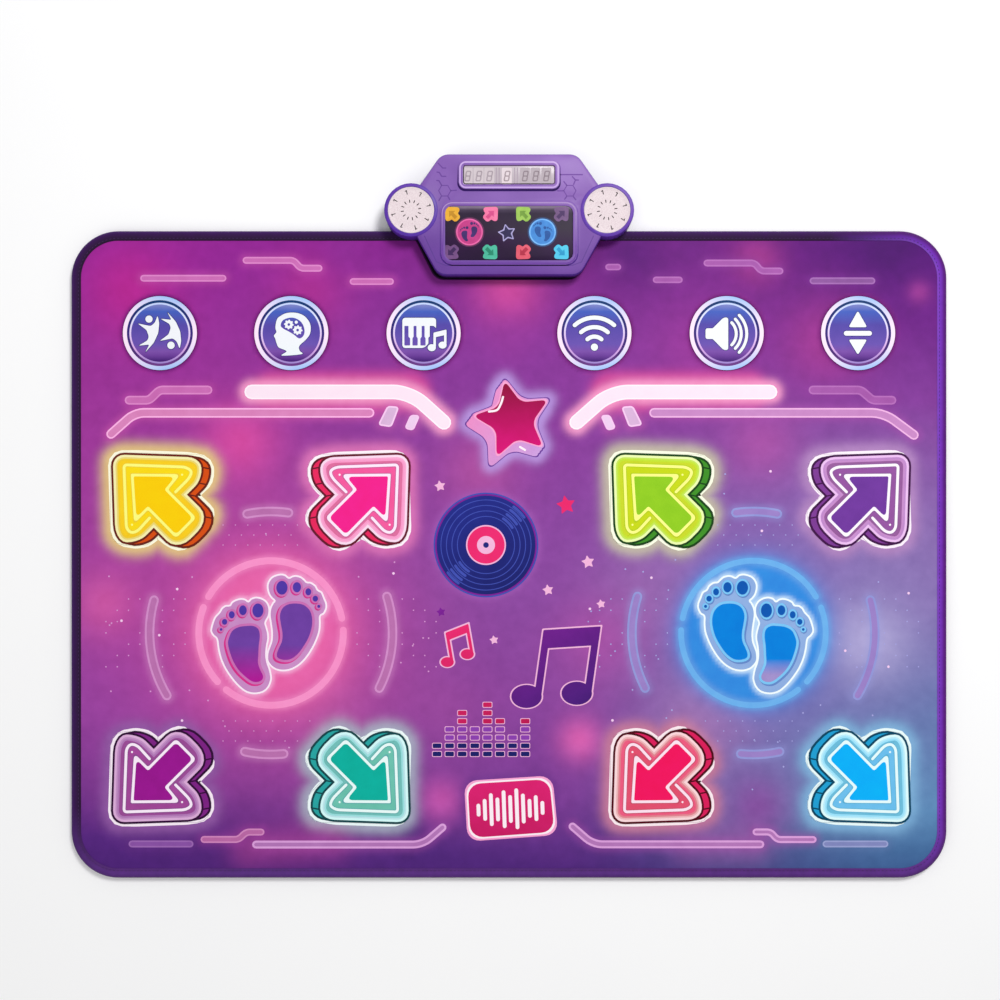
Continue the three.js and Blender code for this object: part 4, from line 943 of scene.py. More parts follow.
TOE_PLATES = ((0.7, 2.5, "shade", 8), (0.0, 2.2, "contour", 12), (0.0, 0.0, "toe", 16))


def footprint(press, name, middle, side, foot, sole, toes, base):
    look = FEET[name]
    outline = flowing(grown(local(foot, middle, 1, 0, side), 1.2))
    press.plate(outline, name + "_flesh", base, [(2.3, name + "_rim")])
    shift = Vector((look["shift"][0], -look["shift"][1])) * PICTURE_MM
    inner = flowing(local(sole, middle, 1, 0, side))
    press.plate([p + shift for p in grown(inner, 3.8)], name + "_shade", base + 2)
    press.plate(grown(inner, 3.2), name + "_contour", base + 4)
    press.plate(inner, name + "_sole", base + 6)
    for i, (x, y, wide, tall) in enumerate(toes):
        toe = local([(x, y)], middle, 1, 0, side)[0]
        for share, grow, part, lift in TOE_PLATES:
            layer = base + lift + (i % 2) * 2
            press.plate(circle(toe + shift * share, wide * PICTURE_MM + grow, 24, tall / wide), f"{name}_{part}", layer)
    glow(outline, look["gleam"], 4.0, 0.75, 0.0, True)


print("a footprint's outline has", len(LOW_FOOT), "points")

# %% Make the standing circles
RING_RADIUS, DASH_RADIUS = 72.3, 121.5
RING_GAPS = (7, 154.6, 227)
DASHES = ((-27, 17.5), (81.7, 101.4), (164.3, 211), (-102.5, -84))


def arc_path(middle, radius, start, stop, side=1, steps=24):
    turns = [math.radians(start + (stop - start) * i / steps) for i in range(steps + 1)]
    return [middle + Vector((math.cos(t) * side, math.sin(t))) * radius for t in turns]


for name, look in FEET.items():
    press = Press(SHEET_TOP)
    middle, side = spot(*look["middle"]), look["side"]
    glow([middle, middle + Vector((0.1, 0))], look["halo"], look["reach"], 0.94, look["half"])
    for start, stop in zip(RING_GAPS, (*RING_GAPS[1:], RING_GAPS[0] + 360)):
        path = arc_path(middle, RING_RADIUS * PICTURE_MM, start + 4.7, stop - 4.7, side)
        lit_line(press, path, look["ring_width"], name + "_ring", 1, (), look["ring"], 4.0, 0.45)
    for start, stop in DASHES:
        path = arc_path(middle, DASH_RADIUS * PICTURE_MM, start, stop, side, 16)
        lit_line(press, path, 12.6, name + "_dash", 1, [(2.6, name + "_dash_edge")], look["dash_edge"], 5.0, 0.3)
    footprint(press, name, middle, side, LOW_FOOT, LOW_SOLE, LOW_TOES, 1)
    footprint(press, name, middle, side, HIGH_FOOT, HIGH_SOLE, HIGH_TOES, 2)
    printed("standing_circle_" + name, press)

# %% [markdown]
# ## The emblem, the music motif and the plaque
# A few printed ornaments fill the middle of the mat. They are plain signs of music and play: a tilted star with a
# thick pink side, a record, two pairs of notes over a row of level bars, and a crimson plaque with white bars.

# %% Inks of the ornaments
ink("crimson", "#8e0a3a", "#e0127c", (511, 388), (511, 458))
ink("side_pink", "#ee8cc4", "#c9a0e0", (470, 400), (550, 450))
ink("face_rim", "#f9a4d2")
ink("plum_line", "#6c3f9a")
ink("crimson_dark", "#8a0c46")
ink("plaque_fill", "#dc2070", "#c81a62", (511, 785), (511, 835))
ink("white_ink", "#fff0f8")
ink("navy", "#232c8a", "#1a1f66", (460, 490), (520, 600))
ink("navy_sheen", "#4150b0")
ink("plum", "#7a1f92", "#3d1a74", (520, 610), (590, 720))
ink("plum_light", "#8b3fae")
ink("rosy", "#ec2a70", "#b4124e", (430, 630), (480, 760))
ink("blush", "#f3b6dc")
print(len(INKS), "inks so far")

# %% The star emblem
ornaments = Press(SHEET_TOP)


def star(middle, outer, inner, turn, cut):
    points = []
    for i in range(10):
        aim = math.pi * i / 5
        radius = inner if i % 2 else outer
        points.append((radius * math.sin(aim), -radius * math.cos(aim)))
    return rounded(local(points, middle, 1, turn), cut * PICTURE_MM)


STAR_SLIDE = [(-6, 8), (-4, 5.4), (-2, 2.7), (0, 0)]
STAR_X, STAR_Y = 513, 420
for i, (x, y) in enumerate(STAR_SLIDE):
    middle = spot(STAR_X + x, STAR_Y + y)
    ornaments.plate(star(middle, 46.5, 23.5, 12, 8), "plum_line", 1 + i)
    ornaments.plate(star(middle, 45, 22.5, 12, 8), "side_pink", 5 + i)
    if i in (0, 3):
        glow(star(middle, 46, 23, 12, 8), "#b694dc", 9.0, 0.8, 1.0, True)
star_middle = spot(STAR_X, STAR_Y)
ornaments.plate(star(star_middle, 43, 21, 12, 7), "face_rim", 9)
ornaments.plate(star(star_middle, 40.5, 19.4, 12, 6.5), "crimson", 10)
for shine in ([(489, 411.5), (497, 410), (501, 403.5), (503, 397)], [(520, 447), (525, 450)]):
    ornaments.line(flowing(spots(*shine), closed=False), 2.8, "white_ink", 11)
print("the star spans", round(93 * PICTURE_MM), "mm")

# %% The record
record_middle = spot(486, 545)
for radius, name, layer in ((52.4, "navy_sheen", 1), (51, "plum", 2), (49.4, "navy", 3)):
    ornaments.plate(circle(record_middle, radius * PICTURE_MM, 72), name, layer)
for radius in (45.5, 40, 34.5, 29):
    outer = circle(record_middle, radius * PICTURE_MM, 64)
    inner = circle(record_middle, (radius - 0.8) * PICTURE_MM, 64)
    ornaments.band(outer, inner, "navy_sheen", 4)
for start, stop in ((28, 62), (208, 242)):
    for radius in (31.5, 37, 42.5, 47.2):
        path = arc_path(record_middle, radius * PICTURE_MM, start + radius / 6, stop - radius / 6, 1, 10)
        ornaments.line(path, 3.4, "navy_sheen", 5)
for radius, name, layer in ((20, "blush", 6), (18.6, "rosy", 7), (9, "blush", 8), (2.8, "navy", 9)):
    ornaments.plate(circle(record_middle, radius * PICTURE_MM, 48), name, layer)
glow(circle(record_middle, 52 * PICTURE_MM, 40), "#a45cb4", 6.0, 0.5, 0.0, True)
print("the record is", round(104 * PICTURE_MM), "mm wide")

# %% [markdown]
# A pair of notes is two heads, two stems and a beam. The pale outline is printed first, every part a layer above the
# last, and then the same parts once more, a little slimmer, in their own colour.

# %% The notes and the level bars
def note_pair(middle, scale, turn, name, layer):
    def at(*points):
        return local(points, middle, scale, turn)

    for grow, wearing, base in ((1.5, "blush", layer), (0.0, name, layer + 3)):
        head_radius, stem_wide = (10.5 * scale + grow) * PICTURE_MM, (4.8 * scale + 2 * grow) * PICTURE_MM
        for x, y in ((-17, 25), (17, 18)):
            ornaments.plate(circle(at((x, y))[0], head_radius, 32, 0.76), wearing, base)
            ornaments.line(at((x + 7.6, y - 2), (x + 7.6, y - 44)), stem_wide, wearing, base + 1)
        beam = at((-11.8, -22), (27, -30), (27, -17), (-11.8, -9))
        ornaments.plate(rounded(grown(beam, grow * PICTURE_MM) if grow else beam, 1.4), wearing, base + 2)


note_pair(spot(556, 664), 1.45, -8, "plum", 1)
note_pair(spot(455, 645), 0.62, 10, "rosy", 1)
SMALL_STARS = ((566, 505, 10, "rosy"), (588, 562, 7, "blush"), (440, 486, 6, "blush"), (601, 604, 5, "blush"),
               (441, 612, 5, "plum"), (548, 590, 6, "blush"), (494, 640, 5, "blush"))
for x, y, size, name in SMALL_STARS:
    ornaments.plate(star(spot(x, y), size, size * 0.5, 10, 1), name, 1)
BAR_HEIGHTS = (2, 4, 6, 4, 7, 5, 3, 5)
BARS_X, BARS_Y, BAR_STEP, BLOCK_STEP = 437, 757, 12.6, 8.2
for i, height in enumerate(BAR_HEIGHTS):
    x = BARS_X + i * BAR_STEP
    for step in range(height):
        y = BARS_Y - step * BLOCK_STEP
        name = "navy" if step < 2 else ("plum_light" if step < 4 else "rosy")
        box_points = spots((x - 5, y - 6), (x + 5, y - 6), (x + 5, y), (x - 5, y))
        ornaments.plate(rounded(box_points, 1.8), "blush", 1)
        ornaments.plate(rounded(grown(box_points, -0.9), 1.4), name, 2)
print("columns of level bars:", len(BAR_HEIGHTS))

# %% The plaque
plaque_middle = spot(510.5, 809)
PLAQUE = [(-42, -24), (38, -29), (43, 22), (-39, 28)]
for layer, (grow, name) in enumerate(((5.6, "face_rim"), (3.4, "white_ink"), (1.2, "plaque_fill")), 1):
    outline = rounded(grown(local(PLAQUE, plaque_middle), grow), 13 * PICTURE_MM)
    ornaments.plate(outline, name, layer)
    if layer == 1:
        glow(outline, "#6a3488", 7.0, 0.55, 0.0, True)
PLAQUE_BARS = (9, 18, 29, 20, 34, 24, 37, 26, 15, 22, 10)
PLAQUE_BAR_STEP, PLAQUE_BAR_WIDE = 6.4, 3.8
for i, height in enumerate(PLAQUE_BARS):
    x = -32 + i * PLAQUE_BAR_STEP
    bar_path = local([(x, height / 2), (x, -height / 2)], plaque_middle, 1, 2)
    ornaments.line(bar_path, PLAQUE_BAR_WIDE * PICTURE_MM, "white_ink", 4)
printed("ornaments", ornaments)

# %% [markdown]
# Sparkle dots are strewn over the print: in tidy dotted rows beside the circles, and loosely between them. The
# strewing is seeded, so that every run prints the same mat, and no dot falls on a line or a pad.

# %% Sparkle dots
dice = np.random.default_rng(7)
blocked = [*pad_outlines.values(), *button_outlines.values()]
printed_paths = [(np.array([tuple(p) for p in path]), half) for path, _, _, _, half in GLOWS if half < 20]


def is_free(point, margin=7.0):
    for outline in blocked:
        xs, ys = [p.x for p in outline], [p.y for p in outline]
        if min(xs) - margin < point.x < max(xs) + margin and min(ys) - margin < point.y < max(ys) + margin:
            return False
    near = min(gap_to(point, path) - half for path, half in printed_paths)
    return near > 3.5 and abs(point.x) < 550 and -460 < point.y < 362


strewn = []
ROW_STEP = 11.3
CIRCLE_CLEAR_MM = 88


def sparkle(px, py, size, name):
    point = spot(px, py)
    beside = not any((spot(*look["middle"]) - point).length < CIRCLE_CLEAR_MM for look in FEET.values())
    if is_free(point) and beside:
        lines.plate(circle(point, size * PICTURE_MM, 8), name, 1)
        strewn.append(point)


for (px, py), name in (((271, 633), "sparkle"), ((753.4, 633), "sparkle_blue")):
    for row in range(7):
        for column in range(8):
            for side in (-1, 1):
                if (row * 3 + column * 5) % 4 < 2:
                    sparkle(px + side * (86 + column * ROW_STEP), py - 34 + row * ROW_STEP, 0.75, name)
    for row in range(3):
        for column in range(8):
            for side in (-1, 1):
                sparkle(px - 48 + column * 12.4 + (row % 2) * 6, py + side * (88 + row * 10), 0.65, name)
    for _ in range(46):
        aim, far = dice.uniform(0, math.tau), dice.uniform(92, 172)
        size, tone = (1.35, "sparkle_bright") if dice.random() < 0.3 else (0.9, name)
        sparkle(px + far * math.cos(aim), py + far * math.sin(aim), size, tone)
printed("neon_lines", lines)
print(len(strewn), "sparkle dots")


# %% [markdown]
# ## The printed sheet
# The vinyl top is one sheet of cloth-backed film, laid on the foam and sewn in at its edge. It is a fine grid with
# the fourteen pads cut out, because the soft halos are stored on its points: for each point the script adds up the
# light of every line, pad and circle near it.

# %% Soft clouds of the print
for px, py, card, reach, strength in (
    (130, 290, "#c02690", 44, 0.7), (310, 292, "#bc3090", 36, 0.5), (508, 288, "#d64c9e", 34, 0.8),
    (240, 442, "#da4ca2", 38, 0.85), (762, 446, "#b850a4", 36, 0.55), (826, 342, "#a8388f", 42, 0.7),
    (757, 260, "#ac3a8c", 24, 0.65), (919, 292, "#a23c94", 11, 0.7), (700, 350, "#a8389a", 48, 0.45),
    (632, 252, "#581874", 46, 0.85), (690, 244, "#661e7c", 24, 0.6), (890, 246, "#480e66", 30, 0.75),
    (509, 340, "#96389a", 22, 0.6), (345, 250, "#8c2a92", 20, 0.7),
    (480, 470, "#c2569f", 40, 0.5), (104, 604, "#d65ca8", 32, 0.75), (271, 633, "#d4509f", 115, 0.82),
    (753, 633, "#7b74bc", 112, 0.8), (870, 640, "#b6aedc", 40, 0.85), (650, 590, "#a06cb0", 52, 0.5),
    (900, 560, "#8f7ab6", 60, 0.35), (700, 722, "#a878b4", 44, 0.7), (600, 640, "#b44ea4", 44, 0.55),
    (331, 715, "#b85aa6", 34, 0.4), (452, 716, "#a84c9e", 40, 0.3), (758, 806, "#8c489f", 36, 0.8),
    (441, 800, "#c254ac", 21, 0.95), (580, 740, "#dc62b2", 21, 0.92),
):
    middle = spot(px, py)
    glow([middle, middle + Vector((0.1, 0))], card, reach * PICTURE_MM, strength)
print(len(GLOWS), "lights and clouds")

# %% [markdown]
# The falling-off of a halo is close to a bell curve. Clouds are laid first, then the lights in the order in which
# they were printed, each over the last.

# %% Work out the halo at each point
def distance_to(points, path):
    nearest = np.full(len(points), 1e9)
    for first, last in zip(path, path[1:]):
        a, run = np.array(first), np.array(last - first)
        share = np.clip((points - a) @ run / max(run @ run, 1e-9), 0, 1)
        nearest = np.minimum(nearest, np.linalg.norm(points - a - share[:, None] * run, axis=1))
    return nearest


def halo_at(points):
    colour, cover = np.zeros((len(points), 3)), np.zeros(len(points))
    clouds = [g for g in GLOWS if g[4] == 0 and len(g[0]) == 2]
    for path, light, reach, strength, half in clouds + [g for g in GLOWS if g not in clouds]:
        away = np.maximum(distance_to(points, path) - half, 0)
        share = strength * np.exp(-((away / reach) ** 2))
        share[share < 0.004] = 0
        colour = colour * (1 - share[:, None]) + np.array(light) * share[:, None]
        cover = 1 - (1 - cover) * (1 - share)
    colour /= np.maximum(cover, 1e-6)[:, None]
    return np.column_stack([colour, cover])


print("a point between two pads has halo", halo_at(np.array([[-330.0, 60.0]])).round(2))

# %% The sheet's finish
def eased(w, value, start, end):
    span = {"Value": value, "From Min": start, "From Max": end}
    return w.node("MapRange", {"interpolation_type": "SMOOTHSTEP"}, span)


def sheet_recipe(w):
    across = slope(w, flat_point(spot(90, 0)), flat_point(spot(928, 0)))
    rise = slope(w, flat_point(spot(0, 872)), flat_point(spot(0, 236)))
    cloud = noise(w, 5.0, 2.0)
    rise = rise + (cloud - 0.5) * 0.08
    left = ramp(w, rise, (0.02, "#4c2076"), (0.06, "#572580"), (0.13, "#7c3690"), (0.24, "#9741a0"), (0.49, "#a23f9d"),
                (0.71, "#9c3597"), (0.97, "#962694"))
    middle = ramp(w, rise, (0.01, "#50267a"), (0.05, "#5e2e84"), (0.12, "#7d3c95"), (0.27, "#8b439b"),
                  (0.45, "#8a479e"), (0.85, "#863294"), (1.0, "#811e88"))
    right = ramp(w, rise, (0.01, "#3c5e92"), (0.04, "#456d9e"), (0.11, "#5f8cba"), (0.27, "#6c78af"), (0.43, "#8672b0"),
                 (0.58, "#885fa8"), (0.74, "#813b96"), (0.86, "#6c2084"), (0.98, "#4e0870"))
    ground = mix(w, eased(w, across, 0.55, 1.0), mix(w, eased(w, across, 0.0, 0.5), left, middle), right)
    halo = w.node("Attribute", {"attribute_name": "halo"})
    cover = w.node("Attribute", {"attribute_name": "halo"}, output=3)
    return vinyl(w, mix(w, cover, ground, halo))


SHEET_FINISH = finish("printed_vinyl", sheet_recipe)
print("the sheet's finish has", len(SHEET_FINISH.node_tree.nodes), "nodes")

# %% Cut the sheet
CELL_MM = 4.0
CUT_GAP_MM = 0.25
MAT_HALF = Vector((575.0, 425.0))
MAT_CORNER = 62.0
TUCK_MM = 4
SHEET_HALF = MAT_HALF - Vector((TUCK_MM, TUCK_MM))


def rounded_box(middle, half, radius, steps=10):
    points = []
    for x, y, start in ((1, 1, 0), (-1, 1, 90), (-1, -1, 180), (1, -1, 270)):
        corner = middle + Vector((x * (half.x - radius), y * (half.y - radius)))
        points += arc_path(corner, radius, start, start + 90, 1, steps)
    return points


def cut_with(piece, cutter_bm, operation, solver="FAST"):
    mesh = bpy.data.meshes.new("cutter")
    bmesh.ops.recalc_face_normals(cutter_bm, faces=cutter_bm.faces)
    cutter_bm.to_mesh(mesh)
    cutter_bm.free()
    cutter = bpy.data.objects.new("cutter", mesh)
    bpy.context.scene.collection.objects.link(cutter)
    step = piece.modifiers.new("cut", "BOOLEAN")
    step.operation, step.solver, step.object = operation, solver, cutter
    shaped = bpy.data.meshes.new_from_object(piece.evaluated_get(bpy.context.evaluated_depsgraph_get()))
    piece.modifiers.clear()
    shaped.name = piece.name
    piece.data = shaped
    bpy.data.objects.remove(cutter)


def prism(bm, outline, low, high):
    face = bm.faces.new([bm.verts.new((p.x, p.y, low)) for p in outline])
    made = bmesh.ops.extrude_face_region(bm, geom=[face])["geom"]
    bmesh.ops.translate(bm, verts=[g for g in made if isinstance(g, bmesh.types.BMVert)], vec=(0, 0, high - low))


mat_middle = Vector((0, MAT_MIDDLE_Y))
sheet_outline = rounded_box(mat_middle, SHEET_HALF, MAT_CORNER - TUCK_MM, 16)
steps_x, steps_y = round(2 * SHEET_HALF.x / CELL_MM), round(2 * SHEET_HALF.y / CELL_MM)
bm = bmesh.new()
stretch = Matrix.Diagonal((2 * SHEET_HALF.x + 8, 2 * SHEET_HALF.y + 8, 1, 1))
spread = Matrix.Translation((0, MAT_MIDDLE_Y, SHEET_TOP)) @ stretch
bmesh.ops.create_grid(bm, x_segments=steps_x, y_segments=steps_y, size=0.5, matrix=spread)
mesh = bpy.data.meshes.new("printed_sheet")
bm.to_mesh(mesh)
bm.free()
sheet = bpy.data.objects.new("printed_sheet", mesh)
bpy.context.scene.collection.objects.link(sheet)
keeper = bmesh.new()
prism(keeper, sheet_outline, SHEET_TOP - 5, SHEET_TOP + 5)
cut_with(sheet, keeper, "INTERSECT")
holes = bmesh.new()
for outline in blocked:
    prism(holes, grown(outline, CUT_GAP_MM), SHEET_TOP - 5, SHEET_TOP + 5)
cut_with(sheet, holes, "DIFFERENCE")
print("the sheet has", len(sheet.data.polygons), "faces")

def polygon_area(outline):
    return abs(sum(outline[i - 1].cross(outline[i]) for i in range(len(outline)))) / 2


points = np.array([v.co[:2] for v in sheet.data.vertices])
halo = sheet.data.attributes.new("halo", "FLOAT_COLOR", "POINT")
halo.data.foreach_set("color", halo_at(points).astype(np.float32).ravel())
sheet.data.transform(Matrix.Scale(0.001, 4))
sheet.data.materials.clear()
sheet.data.materials.append(SHEET_FINISH)
flat_area = polygon_area(sheet_outline) - sum(map(polygon_area, blocked))
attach(sheet, "mat")
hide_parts("top_sheet")
full_area = 4 * SHEET_HALF.x * SHEET_HALF.y
print("the cut sheet is", round(flat_area / 1e6, 3), "square metres of", round(full_area / 1e6, 3))

# %% [markdown]
# ## The edge tape and the underside
# The tape is a folded strip that wraps the layers and is sewn through. Its section is a few points that are swept
# round the mat: spun round each corner, extruded along each side.

# %% The tape's section
TAPE_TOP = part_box("edge_binding")[1].z * 1000
TAPE_WIDTH = 13.0
SECTION = [
    (TAPE_WIDTH, SHEET_TOP - 0.6), (TAPE_WIDTH, TAPE_TOP - 0.5), (12.2, TAPE_TOP - 0.12), (10.4, TAPE_TOP - 0.3),
    (9.6, TAPE_TOP - 0.34), (8.8, TAPE_TOP - 0.2), (6.4, TAPE_TOP), (3.6, TAPE_TOP - 0.15), (1.4, TAPE_TOP - 0.9),
    (0.25, TAPE_TOP - 2.6), (0.0, TAPE_TOP / 2), (0.25, 2.2), (1.4, 0.7), (3.6, 0.1), (7.0, 0.0), (TAPE_WIDTH, 0.0),
    (TAPE_WIDTH, 1.2), (2.6, 1.4), (1.6, 2.6), (1.6, TAPE_TOP - 2.6), (2.6, SHEET_TOP - 0.5),
]
print("the tape stands", round(TAPE_TOP, 2), "mm high")

# %% Sweep the tape round the mat
STEP_MM = 5.0
bm = bmesh.new()
start = Vector((-MAT_HALF.x + MAT_CORNER, MAT_MIDDLE_Y - MAT_HALF.y))
section = [bm.verts.new((start.x, start.y + inward, z)) for inward, z in SECTION]
front = [bm.edges.new(pair) for pair in zip(section, section[1:] + section[:1])]
corners = [(1, -1), (1, 1), (-1, 1), (-1, -1)]
for i, (x, y) in enumerate(corners):
    length = 2 * ((MAT_HALF.x if i % 2 == 0 else MAT_HALF.y) - MAT_CORNER)
    heading = Vector(((1, 0), (0, 1), (-1, 0), (0, -1))[i])
    steps = round(length / STEP_MM)
    for _ in range(steps):
        made = bmesh.ops.extrude_edge_only(bm, edges=front)["geom"]
        points = [g for g in made if isinstance(g, bmesh.types.BMVert)]
        bmesh.ops.translate(bm, verts=points, vec=(*(heading * length / steps), 0))
        front = [g for g in made if isinstance(g, bmesh.types.BMEdge) and all(v in points for v in g.verts)]
    pivot = (x * (MAT_HALF.x - MAT_CORNER), MAT_MIDDLE_Y + y * (MAT_HALF.y - MAT_CORNER), 0)
    turned = bmesh.ops.spin(bm, geom=front, cent=pivot, axis=(0, 0, 1), angle=math.pi / 2, steps=18)
    front = [g for g in turned["geom_last"] if isinstance(g, bmesh.types.BMEdge)]
bmesh.ops.remove_doubles(bm, verts=bm.verts, dist=0.02)
print("the swept tape has", len(bm.faces), "faces")


# %% Colour with painted light and shade, and weave of the tape
def tape_shaded_recipe(w):
    def vector_maths(operation, first, second=(0, 0, 0), output=0):
        return w.node("VectorMath", {"operation": operation}, {0: first, 1: second}, output)

    folded = vector_maths("ABSOLUTE", vector_maths("SUBTRACT", place(w), (0, MAT_MIDDLE_Y / 1000, 0)))
    corner = ((MAT_HALF.x - MAT_CORNER) / 1000, (MAT_HALF.y - MAT_CORNER) / 1000, 1)
    beyond = vector_maths("MAXIMUM", vector_maths("SUBTRACT", folded, corner))
    inward = w.maths("MULTIPLY", MAT_CORNER / 1000 - vector_maths("LENGTH", beyond, output=1), 1000 / TAPE_WIDTH)
    # The tape's colour is painted light and shade, as on a rounded bead: the left and far sides are in painted shade
    # that deepens towards the inner edge, the right side is painted lit and grows lighter inward, and the near side
    # keeps a middle tone.
    dark = ramp(w, inward, (0.0, "#4c2a6c"), (0.3, "#34084e"), (0.6, "#2c063e"), (1.0, "#1c0226"))
    bright = ramp(w, inward, (0.0, "#5c246e"), (0.3, "#560f7c"), (0.55, "#7028b0"), (0.75, "#7a34c4"),
                  (1.0, "#8348c0"))
    low = ramp(w, inward, (0.0, "#603f74"), (0.2, "#522876"), (0.5, "#5a2d83"), (1.0, "#57287a"))
    lit_right_share = slope(w, (0.42, 0, 0), (0.58, 0, 0))
    near_edge_light_share = slope(w, (0, -0.38, 0), (0, -0.475, 0))
    colour = mix(w, near_edge_light_share, mix(w, lit_right_share, dark, bright), low)
    diagonal = {"wave_type": "BANDS", "bands_direction": "DIAGONAL"}
    weave = w.node("TexWave", diagonal, {"Vector": place(w), "Scale": 420.0})
    fuzz = noise(w, 90.0)
    return {
        "Base Color": mottled(w, colour, 0.3, 90.0),
        "Roughness": 0.58 + fuzz * 0.2,
        "Normal": grain(w, weave * 0.6 + fuzz, 0.0003, 0.5),
        "Specular IOR Level": 0.2,
    }


TAPE_SHADED_FINISH = finish("edge_tape", tape_shaded_recipe)
tape = settle("edge_tape", bm, [TAPE_SHADED_FINISH], "mat", 60)
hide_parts("edge_binding")

# %% [markdown]
# The thread lies in a shallow groove of the tape, one stitch every five millimetres. A stitch is a tiny capsule of a
# few dozen faces, and one mesh holds them all.

# %% Stitch the tape
STITCH_MM = 5.2
STITCH_INSET = 10.0
STITCH_SIZE = (1.7, 0.42, 0.3, 1)
stitch_line = rounded_box(mat_middle, MAT_HALF - Vector((STITCH_INSET, STITCH_INSET)), MAT_CORNER - STITCH_INSET, 16)
bm = bmesh.new()
walked, made_stitches = 0.0, 0
for first, last in zip(stitch_line, stitch_line[1:] + stitch_line[:1]):
    run = last - first
    while walked < run.length:
        middle = first + run.normalized() * walked
        aim = math.atan2(run.y, run.x)
        spread = Matrix.Translation((middle.x, middle.y, TAPE_TOP - 0.2)) @ Matrix.Rotation(aim, 4, "Z")
        spread = spread @ Matrix.Diagonal(STITCH_SIZE)
        bmesh.ops.create_icosphere(bm, subdivisions=1, radius=1, matrix=spread)
        walked += STITCH_MM
        made_stitches += 1
    walked -= run.length


def thread_recipe(w):
    twist = w.node("TexWave", {"wave_type": "BANDS"}, {"Vector": place(w), "Scale": 900.0})
    tone = noise(w, 300.0)
    return {
        "Base Color": mix(w, tone, hue("#2c1640"), hue("#54336e")),
        "Roughness": 0.55 + tone * 0.2,
        "Specular IOR Level": 0.2,
        "Normal": grain(w, twist, 0.0001, 0.4),
    }


THREAD_FINISH = finish("thread", thread_recipe)
stitches = settle("tape_stitches", bm, [THREAD_FINISH], "mat")
print(made_stitches, "stitches")

# %% [markdown]
# Underneath lies a thin skin with small rubbery dots that keep the mat from sliding. It is a copy of the packed
# sheet, and its dots are a bump on a fine lattice.

# %% The non-slip skin
def dotted_height(w, pitch):
    cells = w.node("Mapping", inputs={"Vector": place(w), "Scale": (1 / pitch, 1 / pitch, 0.0)})
    near = w.node("TexVoronoi", {"feature": "F1"}, {"Vector": cells, "Scale": 1.0, "Randomness": 0.0})
    return eased(w, near, 0.34, 0.22)


def skin_recipe(w):
    dots = dotted_height(w, 0.006)
    tone = noise(w, 40.0)
    cloth = mix(w, tone, hue("#2a2634"), hue("#3a3546"))
    return {
        "Base Color": mix(w, dots, cloth, hue("#17141d")),
        "Roughness": 0.8 - dots * 0.25,
        "Normal": grain(w, dots + noise(w, 1200.0) * 0.2, 0.0006, 0.6),
    }


SKIN_FINISH = finish("non_slip_skin", skin_recipe)
skin = settle("non_slip_skin", copy_of("base_sheet"), [SKIN_FINISH], "mat")
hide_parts("base_sheet")
SKIN_INSET = 13.3
SKIN_HALF = Vector((MAT_HALF.x - SKIN_INSET, MAT_HALF.y - SKIN_INSET))
skin_area = polygon_area(rounded_box(mat_middle, SKIN_HALF, MAT_CORNER - SKIN_INSET))
skin_area / 1e6
flat_area / 1e6

# %% [markdown]
# ## The control unit
# The housing is two moulded shells. A moulded edge is never sharp, so each copy of a packed shell gets a small bevel
# wherever two faces meet at more than a slight angle. The two round pods at its sides are a darker violet. Light and
# shade are painted into the plastics: each grows lighter from the near side towards the far side, where the light
# comes from, the walls are painted darker towards their foot as shade, and the frame edges round the windows get a
# painted highlight.

# %% Moulded plastic
SWIRL_SCALE = 24.0
shell_low, shell_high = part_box("upper_shell")


def moulded(w, colour, gloss):
    return {
        "Base Color": mottled(w, colour, 0.25, SWIRL_SCALE),
        "Roughness": gloss + noise(w, SWIRL_SCALE, 2.0) * 0.1,
        "Normal": grain(w, noise(w, 2200.0, 2.0), 0.00012, 0.3),
        "Specular IOR Level": 0.3,
    }


# Each plastic runs from its second, shaded colour at the near side to its first, lit colour at the far side, towards
# the light: painted light and shade.
def plastic(name, light, deep, gloss=0.38):
    def recipe(w):
        rise = slope(w, (0.0, shell_low.y, 0.0), (shell_high.x * 0.3, shell_high.y, 0.0))
        return moulded(w, mix(w, rise, hue(deep), hue(light)), gloss)

    return finish(name, recipe)


SHELL_FINISH = plastic("shell_violet", "#8e66b6", "#6a3f9a")
# The rims of the raised window frames take a lighter violet as a painted highlight.
RIM_HIGHLIGHT_FINISH = plastic("rim_violet_painted_highlight", "#b494d8", "#7a52b0", 0.3)
POD_FINISH = plastic("pod_violet", "#6b42ac", "#5228a0")
# The groove colour is darker as painted shade, standing in for the shade inside a real groove.
GROOVE_SHADE_FINISH = plastic("groove_violet_painted_shade", "#6c4098", "#56308a", 0.5)
TUB_FINISH = plastic("tub_violet", "#3a1a72", "#260c50", 0.45)


# The walls are painted dark towards their foot: painted shade where they come down close to the sheet.
def wall_shade_recipe(w):
    rise = slope(w, (0.0, 0.0, shell_low.z), (0.0, 0.0, shell_high.z))
    colour = ramp(w, rise, (0.0, "#14042a"), (0.15, "#200a40"), (0.45, "#44227e"), (0.95, "#5e38a6"))
    return moulded(w, colour, 0.42)


WALL_SHADE_FINISH = finish("wall_violet_painted_shade", wall_shade_recipe)


SLIGHT_ANGLE = 30


def eased_copy(node, offset, segments=2):
    bm = copy_of(node)
    turned = [e for e in bm.edges if e.is_manifold and e.calc_face_angle(0) > math.radians(SLIGHT_ANGLE)]
    bmesh.ops.bevel(bm, geom=turned, offset=offset, segments=segments, profile=0.5, affect="EDGES",
                    clamp_overlap=True, material=-1)
    return bm


print("six plastics are mixed")

